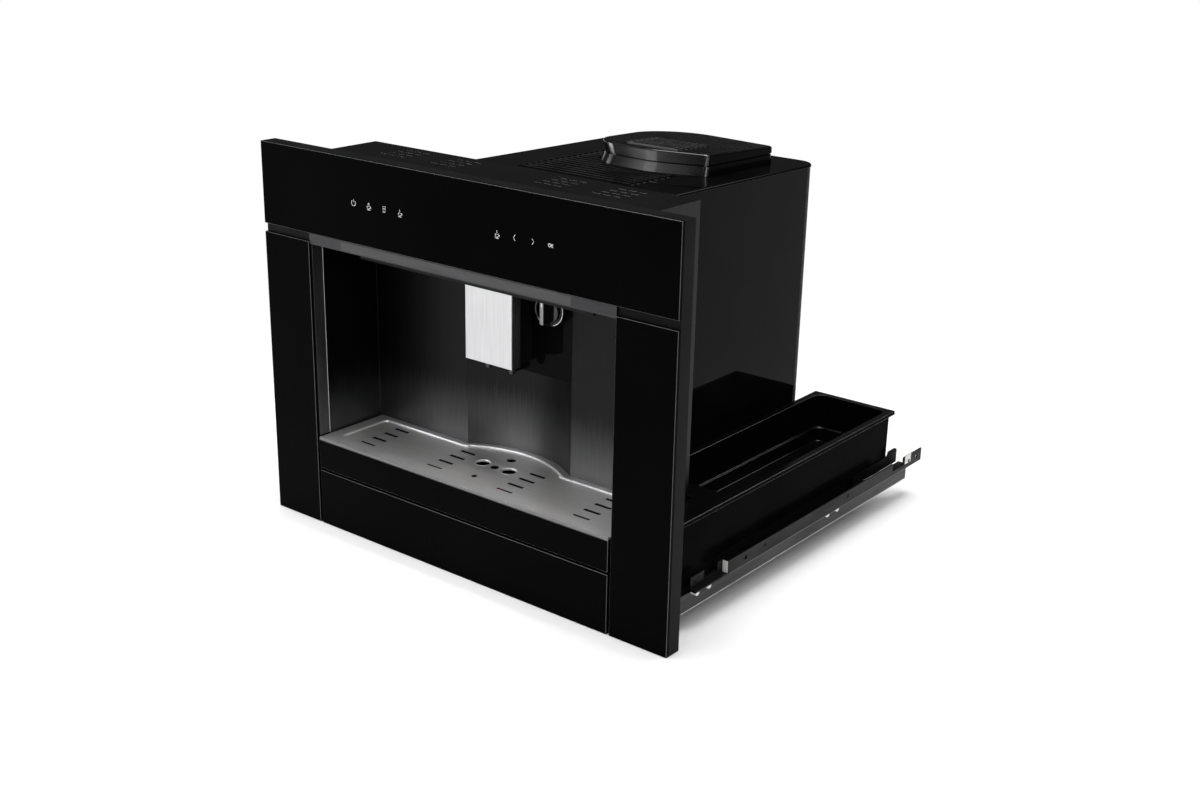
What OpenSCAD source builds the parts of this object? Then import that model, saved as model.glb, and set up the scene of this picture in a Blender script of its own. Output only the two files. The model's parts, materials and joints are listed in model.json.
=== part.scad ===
// Built in coffee machine with a pull-out chassis on two telescopic rails.
// X runs to the right, Y to the back and Z up. The origin is at the bottom, in the middle.

/* [Front] */
// Width of the front
front_w = 595; // [560:5:640]
// Height of the front
front_h = 455; // [440:5:480]
// Depth of the front frame, glass included
front_d = 22; // [20:1:30]
// Thickness of the front glass
glass_t = 4; // [3:0.5:6]
// Sheet thickness of the front frame
frame_t = 2; // [1.5:0.25:3]
// Width of the frame's rear seat on the cabinet
seat_w = 13; // [8:1:13]
// Height of the control glass
control_h = 96; // [80:2:104]
// Height of the grey strip under the control glass
strip_h = 10; // [6:1:13]
// Gap between the front glasses
front_gap = 3; // [2:0.5:4]

/* [Niche] */
// Width of the side glasses, which leaves the rest of the front to the niche
side_glass_w = 75.5; // [72:0.5:90]
// Height of the header strip over the niche
header_h = 13; // [11:1:20]
// Depth of the niche's flat back wall
niche_d = 104; // [98:1:110]
// Left end of the hollow centre panel
hollow_x0 = -74; // [-90:1:-60]
// Right end of the hollow centre panel
hollow_x1 = 83; // [75:1:95]
// Depth of the centre panel's hollow
hollow_d = 25; // [15:1:28]
// Height of the spout housing over the centre panel
housing_h = 125; // [115:5:140]
// Thickness of the niche's sheets
liner_t = 1.5; // [1:0.25:2]

/* [Chassis] */
// Space between the niche and each side of the chassis
chassis_side = 12; // [8:1:18]
// Back of the chassis, from the front
chassis_d = 120; // [116:1:126]
// Drop of the chassis top below the front's top edge
chassis_drop = 8; // [7:1:20]
// Sheet thickness of the chassis, pan and covers
sheet_t = 2; // [1.5:0.25:3]
// Reach of the base pan past each side of the chassis
pan_side = 28; // [22:1:29]
// Back of the base pan, from the front
pan_d = 465; // [440:5:480]
// Underside of the base pan
pan_z = 10; // [9:1:11]
// Height of the base pan's walls
pan_h = 48; // [44:1:49]

/* [Body] */
// Left side of the machine body
body_x0 = -140; // [-146:1:-130]
// Right side of the machine body
body_x1 = 152; // [145:1:154]
// Back of the machine body, from the front
body_d = 490; // [480:5:510]
// Drop of the body's top below the chassis top, at its front
top_drop = 17; // [8:1:30]
// Slope of the body's top towards the back, in degrees
top_slope = 1.2; // [0:0.1:2]
// Radius of the body's rear corners
body_r = 26; // [15:1:35]
// Thickness of the top cover's plate
top_t = 4; // [3:0.5:6]
// Overhang of the top cover
top_lip = 2.5; // [1:0.5:3]

/* [Trays] */
// Gap beside the drip tray's and the drawer's fascias
fascia_gap = 3; // [2:0.5:5]
// Height of the drip tray's fascia
tray_front_h = 36; // [32:1:36]
// Height of the drawer's fascia
drawer_front_h = 69; // [60:1:69]
// Wall thickness of moulded trays
wall_t = 2; // [1.5:0.25:3]
// Reach of the accessory tray's rim past the base pan
side_tray_over = 9; // [6:1:10]
// Back of the accessory tray's rim, from the front
side_tray_d = 515; // [490:5:520]
// Height of the accessory tray's rim
side_tray_z = 122; // [110:2:140]
// Depth of the accessory tray's well down to its ledge
side_tray_well = 44; // [30:2:50]
// Height of the water tank
tank_h = 250; // [200:10:270]

/* [Rails] */
// Length of the fixed rails
rail_l = 525; // [500:5:530]
// Height of the fixed rails
rail_h = 21; // [19:1:21]
// Thickness of the rail steel
rail_t = 1.5; // [1.25:0.25:1.75]
// Radius of the holes for the cabinet screws
screw_r = 2.5; // [2:0.25:3]

/* [Spout and knob] */
// Width of the coffee spout
spout_w = 69; // [60:1:72]
// Height of the coffee spout
spout_h = 104; // [90:2:106]
// Gap between the spout at its top position and the niche ceiling
spout_gap = 6; // [3:1:12]
// Radius of the steam knob
knob_r = 16.5; // [14:0.5:18]
// Sideways place of the steam knob
knob_x = 59; // [56:1:62]
// Drop of the steam knob's axis below the niche ceiling
knob_drop = 43; // [30:1:60]

/* [Hidden] */
$fn = 64;

// Running gap between pieces that move
clear = 0.3;
// Overrun of every cut
over = 1;
// Whole depth, from the front glass to the rails' rear ears
ear_l = 25;
rail_y = 25;
total_d = rail_y + rail_l + ear_l;
// Place of the front glass along Y, which puts the origin in the middle of the depth
front_y = -total_d / 2;

// Front frame
control_z = front_h - control_h;
side_glass_z1 = control_z - strip_h;
niche_w = front_w - 2 * side_glass_w;
niche_z1 = control_z - header_h;
window_z = 8;
top_seat_w = 6;
frame_flange_y = front_d - 2 * frame_t;
tray_front_z = drawer_front_h + front_gap;
grid_t = 3;
niche_z = tray_front_z + tray_front_h + grid_t;
fascia_w = niche_w - 2 * fascia_gap;
chassis_w = niche_w + 2 * chassis_side;
chassis_h = front_h - chassis_drop;
top_z = chassis_h - top_drop;
glass_gap = 0.5;
display_w = 330;
display_h = 34;
icon_up = 46.3;
icon_z = control_z + icon_up;
board_t = 1.6;
board_rim = 12;

// Hollow of the centre panel
hollow_mid = (hollow_x0 + hollow_x1) / 2;
hollow_half = (hollow_x1 - hollow_x0) / 2;
hollow_r = (pow(hollow_half, 2) + pow(hollow_d, 2)) / (2 * hollow_d);
hollow_y = niche_d + hollow_d - hollow_r;
hollow_z1 = niche_z1 - housing_h;
shelf_z = tray_front_z - sheet_t;

// Vents in the chassis top
vent_xs_share = [-0.335, -0.165, 0.155, 0.325];
vent_back = 50;
vent_y = chassis_d - vent_back;
vent_w = 10;
vent_gap_x = 13.5;
vent_gap_y = 11;
vent_slot = 2.5;
vent_rows = 4;
vent_cols = 3;

// Header and lamp
header_t = 2.5;
lamp_ends_share = [-0.383, 0.372];
lamp_d = 14;
lamp_h = 6;
lamp_y = 36;

// Sheet left over the opening in the chassis back
chassis_lintel = 8;

// Pan
pan_w = chassis_w + 2 * pan_side;
pan_z1 = pan_z + pan_h;
drawer_x = 132;
pan_shelf_x = drawer_x + sheet_t;
body_z = pan_z1;
deck_z1 = shelf_z + sheet_t;
deck_hole_half = 60;
deck_hole_in = 10;
deck_hole_d = 100;

// Rails, whose right side is drawn and mirrored for the left
pan_x = pan_w / 2;
rail_up = 11;
rail_z = pan_z + rail_up;
rail_gap = 2.3;
rail_w = 11.7;
rail_x0 = pan_x + rail_gap;
rail_x1 = rail_x0 + rail_w;
rail_z1 = rail_z + rail_h;
middle_t = rail_t;
middle_z0 = rail_z + rail_t + clear;
middle_z1 = rail_z1 - rail_t - clear;
middle_x1 = rail_x1 - rail_t - clear;
middle_cut = 50;
inner_z0 = middle_z0 + middle_t + clear;
inner_z1 = middle_z1 - middle_t - clear;
inner_x1 = middle_x1 - middle_t - clear;
bracket_h = 16;
bracket_out = 5;
bracket_t = 2;
bracket_x0 = rail_x1 + bracket_out;
bracket_in_x = rail_x1 - bracket_t;
bracket_y0 = 70;
bracket_jog_y = 130;
bracket_hole_y = 165;
pad_ys = [70, 92, 338, 360];
pad_r = 3.5;
pad_t = 1.5;
notch_spans = [[95, 120], [499, 528]];
notch_h = 10;

// Body
body_y = chassis_d;
body_mid = (body_x0 + body_x1) / 2;
side_end_y = body_d - body_r;
top_under_z = top_z - top_t;

// Bean lid, in the cover's own frame: its middle, then places and radii of its round corners
lid_off = 24;
lid_behind = 125;
lid_mid = [body_mid + lid_off, body_d - body_y - lid_behind];
lid_corners = [
    [78, -57, 8],
    [76, 67, 12],
    [-20, 27, 64],
    [-30, -33, 48],
    [10, -18, 66]
];
lid_base_h = 11;
lid_groove_h = 2;
lid_cap_h = 13;
lid_groove_in = 3;
lid_wall = 5;
lid_rib_n = 7;
lid_rib_w = 4;
lid_rib_gap = 10;
lid_rib_h = 1.2;
lid_rib_left = 32;
lid_rib_right = 44;
lid_rib_front = 65;
lid_rib_x0 = lid_mid[0] - lid_rib_left;
lid_rib_x1 = lid_mid[0] + lid_rib_right;
lid_rib_y0 = lid_mid[1] - lid_rib_front;
lid_back = 88;
lid_back_y = lid_mid[1] + lid_back;
lid_pin_r = 2;
lid_pin_back = 102;
lid_pin_y = lid_mid[1] + lid_pin_back;
lid_pin_z = 6;
lid_pin_off = -10;
lid_mid_x = lid_mid[0] + lid_pin_off;
lid_lug_x = 20;
lid_ear_x = 26;
lid_ear_r = 4.5;
pin_clear = 0.06;
lid_corner_r = 2;
hopper_in = 16;
hopper_rim_in = 11;
hopper_rim_h = 4;

// Cup rack: the slatted recess in the top cover, in the cover's own frame
rack_left = 58;
rack_right = 64;
rack_d = 169;
rack_to_lid = 0;
rack_round_lid = 3;
rack_x0 = body_x0 + rack_left;
rack_x1 = body_x1 - rack_right;
rack_y1 = lid_mid[1] - rack_to_lid;
rack_y0 = rack_y1 - rack_d;
rack_depth = 3;
rack_base_t = 1.2;
rib_n = 15;
rib_w = 4;
rib_h = 3.6;
rack_post = 6;

// Grinder inside the body
grinder_off_x = 18;
grinder_off_y = 40;
grinder_x = lid_mid[0] - grinder_off_x;
grinder_y = body_y + lid_mid[1] + grinder_off_y;
grinder_r = 40;
grinder_up = 178;
grinder_z = deck_z1 + grinder_up;
grinder_h = 66;
grinder_floor = 6;
burr_r = 30;
burr_h = 14;
burr_bore_r = 12;
burr_cone = 8;
burr_gap = 1;
burr_up = 20;
burr_z = grinder_z + grinder_floor + burr_up;
shaft_r = 4;
shaft_in = 20;
motor_r = 32;
hopper_z = grinder_z + grinder_h;
hopper_neck = 22;

// Brewer inside the body
brew_off = 4;
brew_behind = 19;
brew_x = body_mid + brew_off;
brew_y = niche_d + hollow_d + brew_behind;
brew_w = 130;
brew_d = 120;
brew_h = 210;
brew_wall = 8;
brew_shelf_h = 70;
chamber_r = 26;
chamber_wall = 5;
chamber_h = 60;
piston_h = 10;
piston_up = 6;
rod_r = 6;
rod_length = 90;
outlet_r = 20;

// Heater, pump, hose, valve and electrics inside the body
heater_side = 45;
heater_x = body_x1 - heater_side;
heater_w = 40;
heater_d = 110;
heater_h = 120;
pump_r = 20;
pump_length = 90;
pump_side = 36;
pump_back = 102;
pump_x = body_x0 + pump_side;
pump_y = brew_y + pump_back;
pump_foot = 5;
hose_r = 3;
hose_gap = 8.5;
hose_y = brew_y - hose_gap;
valve_w = 26;
valve_d = 20;
board_x_gap = 6;
power_board_l = 120;
power_board_h = 170;
power_board_back = 190;
power_board_y = body_d - power_board_back;
power_board_z = 150;
standoff_r = 3;
inlet_w = 28;
inlet_h = 24;
inlet_d = 18;
inlet_wall = 2.5;
inlet_side = 50;
inlet_x = body_x0 + inlet_side;
inlet_z = 120;
screw_head_r = 3.5;
screw_head_h = 2;
screw_shank_r = 1.6;
screw_l = 7;
screw_clear = 0.1;
screw_drop = 46;
screw_xs = [body_x0 + body_r, body_x1 - body_r];
screw_zs = [body_z + body_r, top_z - screw_drop];

// Drawer under the drip tray
drawer_h = 26;
drawer_z = pan_z + sheet_t + clear;
drawer_panel_y1 = 9;
grounds_left = 72;
grounds_right = 66;
grounds_d = 146;
grounds_gap = 5;
grounds_x0 = brew_x - grounds_left;
grounds_x1 = brew_x + grounds_right;
grounds_y0 = brew_y - wall_t;
grounds_y1 = grounds_y0 + grounds_d;
grounds_z1 = shelf_z - grounds_gap;
drawer_behind = 8;
drawer_back = grounds_y1 + drawer_behind;

// Accessory tray
side_tray_x1 = pan_x + side_tray_over;
side_tray_x0 = body_x1 + 4;
side_tray_rim = 5;
side_tray_inset = 5;
side_tray_y0 = 58;
side_well_y0 = 155;
side_well_x0 = side_tray_x0 + 9;
side_well_x1 = side_tray_x1 - 8;
side_well_r = 12;
side_ledge_z = side_tray_z - side_tray_well;
side_ledge_w = 3;
side_tray_foot = pan_z1 + clear;
side_floor_z = side_tray_foot + wall_t;
side_wing_x0 = chassis_w / 2 + 3;
side_wing_y1 = chassis_d + 4;

// Water tank
tank_x1 = body_x0 - 6;
tank_x0 = 4 - pan_x;
tank_y0 = chassis_d + 6;
tank_back = 32;
tank_y1 = body_d - tank_back;
tank_z0 = pan_z1 + clear;
tank_r = 14;
tank_lid_h = 8;
tank_lid_lip = 1.5;
valve_r = 6;
valve_l = 8;
dock_r = 14;
dock_h = 12;
dock_y = 190;
dock_x = (tank_x0 + tank_x1) / 2;

// Spout and knob
spout_out = 45;
spout_y = niche_d - spout_out;
spout_z = niche_z1 - spout_gap - spout_h;
spout_face_t = 2;
spout_shell_d = 15;
spout_rear_w = 52;
spout_rail_w = 20;
spout_rail_d = 14;
nozzle_r = 5;
nozzle_tip_r = 3;
nozzle_x = 17.5;
nozzle_out = 25;
nozzle_y = niche_d - nozzle_out;
nozzle_h = 12;
nozzle_bore_r = 1.6;
knob_z = niche_z1 - knob_drop;
knob_out = 24;
knob_disc_out = 16;
knob_back_out = 4;
knob_y = niche_d - knob_out;
knob_disc_y = niche_d - knob_disc_out;
knob_back_y = niche_d - knob_back_out;
knob_grip_w = 8;
knob_grip_in = 1;
knob_ring_r = 18.5;
knob_ring_out = 10;
knob_ring_y = niche_d - knob_ring_out;
knob_shaft_r = 3;
knob_shaft_in = 16;
knob_shaft_y = niche_d + knob_shaft_in;
knob_bore_clear = 0.08;

// Drip tray and its grid
grid_sheet_t = 1.2;
grid_gap = 0.5;
grid_x = fascia_w / 2 - grid_gap;
grid_y0 = 0.5;
grid_border = 17;
grid_bulge_rim = 9;
grid_field_x = fascia_w / 2 - grid_border;
grid_field_y0 = 22;
grid_field_y1 = niche_d - grid_bulge_rim;
grid_field_drop = 1.5;
grid_slot_l = 22;
grid_slot_w = 4.5;
grid_groups_share = [-0.371, -0.122, 0.122, 0.371];
grid_rows_share = [0.245, 0.428, 0.611, 0.788];
hole_big_r = 9.5;
hole_big_x = 20;
hole_big_back = 33;
hole_big_y = niche_d - hole_big_back;
float_hole_r = 5;
float_r = 4.5;
float_foot_r = 9;
float_foot_h = 6;
float_back = 35;
float_under = 6;
float_y = niche_d - float_back;
drain_r = 6;
drain_back = 6;
drain_y = niche_d - drain_back;
pick_r = 3.5;
pick_y = 35;
tub_in = 14;
tub_x = fascia_w / 2 - tub_in;
tub_z0 = shelf_z + sheet_t + clear;
tub_z1 = niche_z - grid_t;
tub_back = 4;
tub_y1 = niche_d - tub_back;
tray_panel_y1 = 9;

// Moves a piece from the front glass plane to its place round the origin
module at_front() {
    translate([0, front_y, 0]) children();
}

// Draws a piece given at the right on the side wanted
module on_side(side) {
    mirror([side < 0 ? 1 : 0, 0, 0]) children();
}

// A box between two corners
module span(low, high) {
    translate(low) cube(high - low);
}

// A rod along Y between two places
module rod_y(x, z, r, y0, y1) {
    translate([x, y0, z]) rotate([-90, 0, 0]) cylinder(r = r, h = y1 - y0);
}

// A rod along X between two places
module rod_x(y, z, r, x0, x1) {
    translate([x0, y, z]) rotate([0, 90, 0]) cylinder(r = r, h = x1 - x0);
}

// A flat rectangle with round corners, made of true arcs
module round_rect(low, high, r) {
    translate([low[0] + r, low[1]]) square([high[0] - low[0] - 2 * r, high[1] - low[1]]);
    translate([low[0], low[1] + r]) square([high[0] - low[0], high[1] - low[1] - 2 * r]);
    for (x = [low[0] + r, high[0] - r], y = [low[1] + r, high[1] - r]) translate([x, y]) circle(r);
}

// A box with round upright edges
module round_span(low, high, r) {
    translate([0, 0, low[2]]) linear_extrude(high[2] - low[2]) round_rect(low, high, r);
}

// The cover's own frame: the body's front top edge, leaning back with the slope
module on_top() {
    translate([0, front_y + body_y, top_z]) rotate([-top_slope, 0, 0]) children();
}

// Cuts away all that is above the body's sloping top cover
module under_top(reach) {
    difference() {
        children();
        translate([0, body_y, top_under_z]) rotate([-top_slope, 0, 0])
            translate([-front_w, -reach, 0]) cube([2 * front_w, body_d + 2 * reach, front_h]);
    }
}

module cabinet_bracket(side) {
    z1 = rail_z1 + bracket_h;
    y1 = rail_y + rail_l + ear_l;
    jog_y = bracket_jog_y + bracket_t;
    color("dimgray") at_front() on_side(side) difference() {
        union() {
            span([bracket_in_x, bracket_y0, rail_z1],
                [bracket_x0 + bracket_t, rail_y + rail_l, rail_z1 + bracket_t]);
            span([bracket_in_x, bracket_y0, rail_z1], [bracket_in_x + bracket_t, jog_y, z1]);
            span([bracket_in_x, bracket_jog_y, rail_z1], [bracket_x0 + bracket_t, jog_y, z1]);
            span([bracket_x0, bracket_jog_y, rail_z1], [bracket_x0 + bracket_t, y1, z1]);
        }
        for (y = [bracket_hole_y, y1 - ear_l / 2])
            rod_x(y, rail_z1 + bracket_h / 2, screw_r, bracket_x0 - over, bracket_x0 + bracket_t + over);
        for (y = notch_spans)
            span([bracket_in_x - over, y[0], z1 - notch_h], [bracket_x0 + bracket_t + over, y[1], z1 + over]);
    }
}

module outer_rail(side) {
    color("gray") at_front() on_side(side) difference() {
        span([rail_x0, rail_y, rail_z], [rail_x1, rail_y + rail_l, rail_z1]);
        span([rail_x0 - over, rail_y - over, rail_z + rail_t],
            [rail_x1 - rail_t, rail_y + rail_l + over, rail_z1 - rail_t]);
    }
}

module middle_rail(side) {
    y1 = rail_y + rail_l - middle_cut;
    color("silver") at_front() on_side(side) difference() {
        span([rail_x0, rail_y, middle_z0], [middle_x1, y1, middle_z1]);
        span([rail_x0 - over, rail_y - over, middle_z0 + middle_t],
            [middle_x1 - middle_t, y1 + over, middle_z1 - middle_t]);
    }
}

module inner_rail(side) {
    color("lightgray") at_front() on_side(side)
        span([pan_x, rail_y, inner_z0], [inner_x1, pan_d, inner_z1]);
}

module rail_pads() {
    color("white") at_front() for (side = [-1, 1]) on_side(side) for (y = pad_ys) difference() {
        rod_x(y + pad_r, rail_z1, pad_r, rail_x1, rail_x1 + pad_t);
        span([rail_x1 - over, y - over, rail_z1],
            [rail_x1 + pad_t + over, y + 2 * pad_r + over, rail_z1 + 2 * pad_r]);
    }
}

module base_pan() {
    y0 = frame_flange_y + frame_t;
    color("dimgray") at_front() difference() {
        union() {
            difference() {
                span([-pan_x, y0, pan_z], [pan_x, pan_d, pan_z1]);
                span([-pan_x + sheet_t, y0 - over, pan_z + sheet_t],
                    [pan_x - sheet_t, pan_d - sheet_t, pan_z1 - sheet_t]);
                span([-pan_shelf_x, y0 - over, pan_z + sheet_t],
                    [pan_shelf_x, pan_d - sheet_t, pan_z1 + over]);
            }
            translate([dock_x, dock_y, pan_z1 - dock_h]) cylinder(r = dock_r, h = dock_h);
        }
        translate([dock_x, dock_y, pan_z1 - valve_l - over])
            cylinder(r = valve_r + clear, h = valve_l + 2 * over);
    }
}

module deck() {
    color("gray") at_front() difference() {
        span([body_x0 + sheet_t, body_y, shelf_z], [body_x1 - sheet_t, side_end_y, deck_z1]);
        span([hollow_x0 - clear, body_y - over, shelf_z - over],
            [hollow_x1 + clear, niche_d + hollow_d + liner_t + clear, deck_z1 + over]);
        span([brew_x - deck_hole_half, brew_y + deck_hole_in, shelf_z - over],
            [brew_x + deck_hole_half, brew_y + deck_hole_in + deck_hole_d, deck_z1 + over]);
    }
}

module front_frame() {
    front_x = front_w / 2;
    window_x = niche_w / 2;
    wall_x = window_x + frame_t;
    flange_x = chassis_w / 2 + frame_t;
    color("dimgray") at_front() difference() {
        union() {
            span([-front_x, glass_t, 0], [front_x, glass_t + frame_t, front_h]);
            difference() {
                span([-front_x, glass_t, 0], [front_x, front_d, front_h]);
                span([-front_x + frame_t, glass_t, frame_t],
                    [front_x - frame_t, front_d - frame_t, front_h - frame_t]);
                span([-front_x + seat_w, glass_t, window_z],
                    [front_x - seat_w, front_d + over, front_h - top_seat_w]);
            }
            span([-wall_x, glass_t, window_z - frame_t / 2],
                [wall_x, frame_flange_y + frame_t, niche_z1 + frame_t]);
            span([-flange_x, frame_flange_y, window_z - frame_t / 2],
                [flange_x, frame_flange_y + frame_t, front_h - frame_t]);
            span([-pan_x, frame_flange_y, window_z - frame_t / 2],
                [pan_x, frame_flange_y + frame_t, pan_z1 + frame_t]);
        }
        span([-window_x, glass_t - over, window_z], [window_x, front_d + over, niche_z1]);
        span([-display_w / 2, glass_t - over, icon_z - display_h / 2],
            [display_w / 2, glass_t + frame_t + over, icon_z + display_h / 2]);
    }
}

module front_glass(x0, x1, z0, z1) {
    color("black") at_front() span([x0, 0, z0], [x1, glass_t, z1]);
}

module side_glass(side) {
    on_side(side) front_glass(niche_w / 2 + glass_gap, front_w / 2, 0, side_glass_z1);
}

module header_strip() {
    x = niche_w / 2;
    color("gray") at_front() span([-x, glass_t - header_t, niche_z1], [x, glass_t, control_z - glass_gap]);
}

module niche_lamp() {
    color("white") at_front() span([lamp_ends_share[0] * niche_w, lamp_y, niche_z1 - lamp_h],
        [lamp_ends_share[1] * niche_w, lamp_y + lamp_d, niche_z1]);
}

module touch_board() {
    x = display_w / 2 + board_rim;
    z = display_h / 2 + board_rim;
    color("darkgreen") at_front()
        span([-x, glass_t + frame_t, icon_z - z], [x, glass_t + frame_t + board_t, icon_z + z]);
}

// One group of short slots in staggered rows
module vent_group() {
    for (row = [0 : vent_rows - 1], col = [0 : vent_cols - 1])
        translate([(col - (vent_cols - 1) / 2) * vent_gap_x + (row - vent_rows / 2) * vent_slot,
            row * vent_gap_y, chassis_h - sheet_t - over])
            cube([vent_w, vent_slot, sheet_t + 2 * over]);
}

module chassis() {
    x = chassis_w / 2;
    y0 = frame_flange_y + frame_t;
    color("dimgray") at_front() difference() {
        span([-x, y0, pan_z1], [x, chassis_d, chassis_h]);
        span([-x + sheet_t, y0 - over, pan_z1 - over],
            [x - sheet_t, chassis_d - sheet_t, chassis_h - sheet_t]);
        span([hollow_x0 - sheet_t - clear, y0, pan_z1 - over],
            [hollow_x1 + sheet_t + clear, chassis_d + over, chassis_h - chassis_lintel]);
        for (share = vent_xs_share) translate([share * chassis_w, vent_y, 0]) vent_group();
    }
}

module niche_liner() {
    x = niche_w / 2 + liner_t;
    y0 = frame_flange_y + frame_t;
    color("gray") at_front() difference() {
        span([-x, y0, shelf_z + sheet_t], [x, niche_d + liner_t, niche_z1 + liner_t]);
        span([-x + liner_t, y0 - over, shelf_z], [x - liner_t, niche_d, niche_z1 - over]);
        span([-x + liner_t, y0 - over, niche_z1 - 2 * over], [x - liner_t, niche_d, niche_z1]);
        span([hollow_x0, niche_d - over, shelf_z], [hollow_x1, chassis_d, niche_z1]);
    }
}

module centre_panel() {
    z0 = shelf_z + sheet_t;
    color("gray") at_front() difference() {
        intersection() {
            translate([hollow_mid, hollow_y, z0])
                cylinder(r = hollow_r + liner_t, h = hollow_z1 - z0, $fn = 128);
            span([hollow_x0, niche_d, z0], [hollow_x1, niche_d + hollow_d + liner_t, hollow_z1]);
        }
        translate([hollow_mid, hollow_y, z0 - over])
            cylinder(r = hollow_r, h = hollow_z1 - z0 + 2 * over, $fn = 128);
    }
}

module spout_housing() {
    y1 = niche_d + hollow_d + liner_t;
    color("black") at_front() difference() {
        span([hollow_x0, niche_d, hollow_z1], [hollow_x1, y1, niche_z1]);
        span([hollow_x0 + wall_t, niche_d + wall_t, hollow_z1 + wall_t],
            [hollow_x1 - wall_t, y1 + over, niche_z1 - wall_t]);
        rod_y(knob_x, knob_z, knob_shaft_r + knob_bore_clear, niche_d - over, niche_d + wall_t + over);
    }
    x = spout_rail_w / 2;
    color("black") at_front() span([-x, niche_d - spout_rail_d, hollow_z1], [x, niche_d, niche_z1]);
}

module tray_shelf() {
    x = chassis_w / 2 - sheet_t;
    color("dimgray") at_front() {
        span([-x, frame_flange_y + frame_t, shelf_z], [x, niche_d + liner_t, shelf_z + sheet_t]);
        span([hollow_x0, niche_d, shelf_z], [hollow_x1, niche_d + hollow_d + liner_t, shelf_z + sheet_t]);
    }
}

module side_panel(x) {
    color("black") at_front() under_top(over) span([x, body_y, body_z], [x + sheet_t, side_end_y, front_h]);
}

module rear_cover() {
    color("black") at_front() under_top(over) difference() {
        round_span([body_x0, side_end_y - body_r, body_z], [body_x1, body_d, front_h], body_r);
        round_span([body_x0 + sheet_t, side_end_y - 2 * body_r, body_z - over],
            [body_x1 - sheet_t, body_d - sheet_t, front_h + over], body_r - sheet_t);
        span([body_x0 - over, side_end_y - 2 * body_r, body_z - over],
            [body_x1 + over, side_end_y, front_h + over]);
        span([inlet_x - inlet_w / 2, side_end_y, inlet_z],
            [inlet_x + inlet_w / 2, body_d + over, inlet_z + inlet_h]);
        for (x = screw_xs, z = screw_zs) rod_y(x, z, screw_shank_r + screw_clear, side_end_y, body_d + over);
    }
}

// The lid's outline in the cover's frame, grown by an amount or drawn in by a negative one
module lid_outline(grow) {
    translate(lid_mid) hull() for (c = lid_corners) translate([c[0], c[1]]) circle(c[2] + grow, $fn = 48);
}

// The hopper's opening: the lid's outline, drawn in by moving and shrinking its corners
module lid_inner(inset) {
    translate(lid_mid) hull() for (c = lid_corners) {
        r = max(c[2] - inset, lid_corner_r);
        slide = 1 - (inset - (c[2] - r)) / norm([c[0], c[1]]);
        translate([c[0] * slide, c[1] * slide]) circle(r, $fn = 48);
    }
}

module top_cover() {
    y1 = body_d - body_y + top_lip;
    x0 = body_x0 - top_lip;
    x1 = body_x1 + top_lip;
    ear_x = lid_ear_x + lid_mid_x;
    color("black") on_top() difference() {
        union() {
            translate([0, 0, -top_t]) linear_extrude(top_t) {
                round_rect([x0, body_r], [x1, y1], body_r);
                translate([x0, clear]) square([x1 - x0, 2 * body_r]);
            }
            for (side = [-1, 1]) translate([lid_mid_x, 0, 0]) on_side(side) {
                rod_x(lid_pin_y, lid_pin_z, lid_ear_r, lid_lug_x + clear, lid_ear_x);
                span([lid_lug_x + clear, lid_pin_y - lid_ear_r, -over],
                    [lid_ear_x, lid_pin_y + lid_ear_r, lid_pin_z]);
            }
        }
        difference() {
            span([rack_x0, rack_y0, -rack_depth], [rack_x1, rack_y1, over]);
            translate([0, 0, -top_t]) linear_extrude(top_t + 2 * over) lid_outline(rack_round_lid);
        }
        translate([0, 0, -top_t - over]) linear_extrude(top_t + 2 * over) lid_inner(hopper_in);
        rod_x(lid_pin_y, lid_pin_z, lid_pin_r, lid_mid_x - lid_ear_x - over, ear_x + over);
    }
}

module cup_rack() {
    step = (rack_y1 - rack_y0 - 2 * rack_base_t) / rib_n;
    color("black") on_top() difference() {
        union() {
            span([rack_x0 + clear, rack_y0 + clear, -rack_depth],
                [rack_x1 - clear, rack_y1 - clear, -rack_depth + rack_base_t]);
            for (i = [0 : rib_n - 1]) {
                y = rack_y0 + rack_base_t + (i + 0.5) * step;
                span([rack_x0 + rack_post, y - rib_w / 2, -rack_depth],
                    [rack_x1 - rack_post, y + rib_w / 2, -rack_depth + rib_h]);
            }
        }
        translate([0, 0, -top_t]) linear_extrude(2 * top_t) lid_outline(rack_round_lid + clear);
    }
}

module bean_lid() {
    z1 = clear + lid_base_h;
    z2 = z1 + lid_groove_h;
    z3 = z2 + lid_cap_h;
    lug_y0 = lid_back_y - lid_wall;
    color("black") on_top() difference() {
        union() {
            translate([0, 0, clear]) linear_extrude(lid_base_h) lid_outline(0);
            translate([0, 0, z1]) linear_extrude(lid_groove_h) lid_outline(-lid_groove_in);
            translate([0, 0, z2]) linear_extrude(lid_cap_h) lid_outline(0);
            for (i = [0 : lid_rib_n - 1])
                span([lid_rib_x0, lid_rib_y0 + i * lid_rib_gap, z3 - over],
                    [lid_rib_x1, lid_rib_y0 + i * lid_rib_gap + lid_rib_w, z3 + lid_rib_h]);
            rod_x(lid_pin_y, lid_pin_z, lid_ear_r, lid_mid_x - lid_lug_x, lid_mid_x + lid_lug_x);
            span([lid_mid_x - lid_lug_x, lug_y0, lid_pin_z - lid_ear_r],
                [lid_mid_x + lid_lug_x, lid_pin_y, lid_pin_z + lid_ear_r]);
        }
        translate([0, 0, clear - over]) linear_extrude(z2 + lid_cap_h - lid_wall - clear + over)
            lid_inner(hopper_in);
        rod_x(lid_pin_y, lid_pin_z, lid_pin_r + pin_clear, lid_mid_x - lid_lug_x - over,
            lid_mid_x + lid_lug_x + over);
    }
}

module lid_pin() {
    color("silver") on_top()
        rod_x(lid_pin_y, lid_pin_z, lid_pin_r, lid_mid_x - lid_ear_x, lid_mid_x + lid_ear_x);
}

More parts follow.
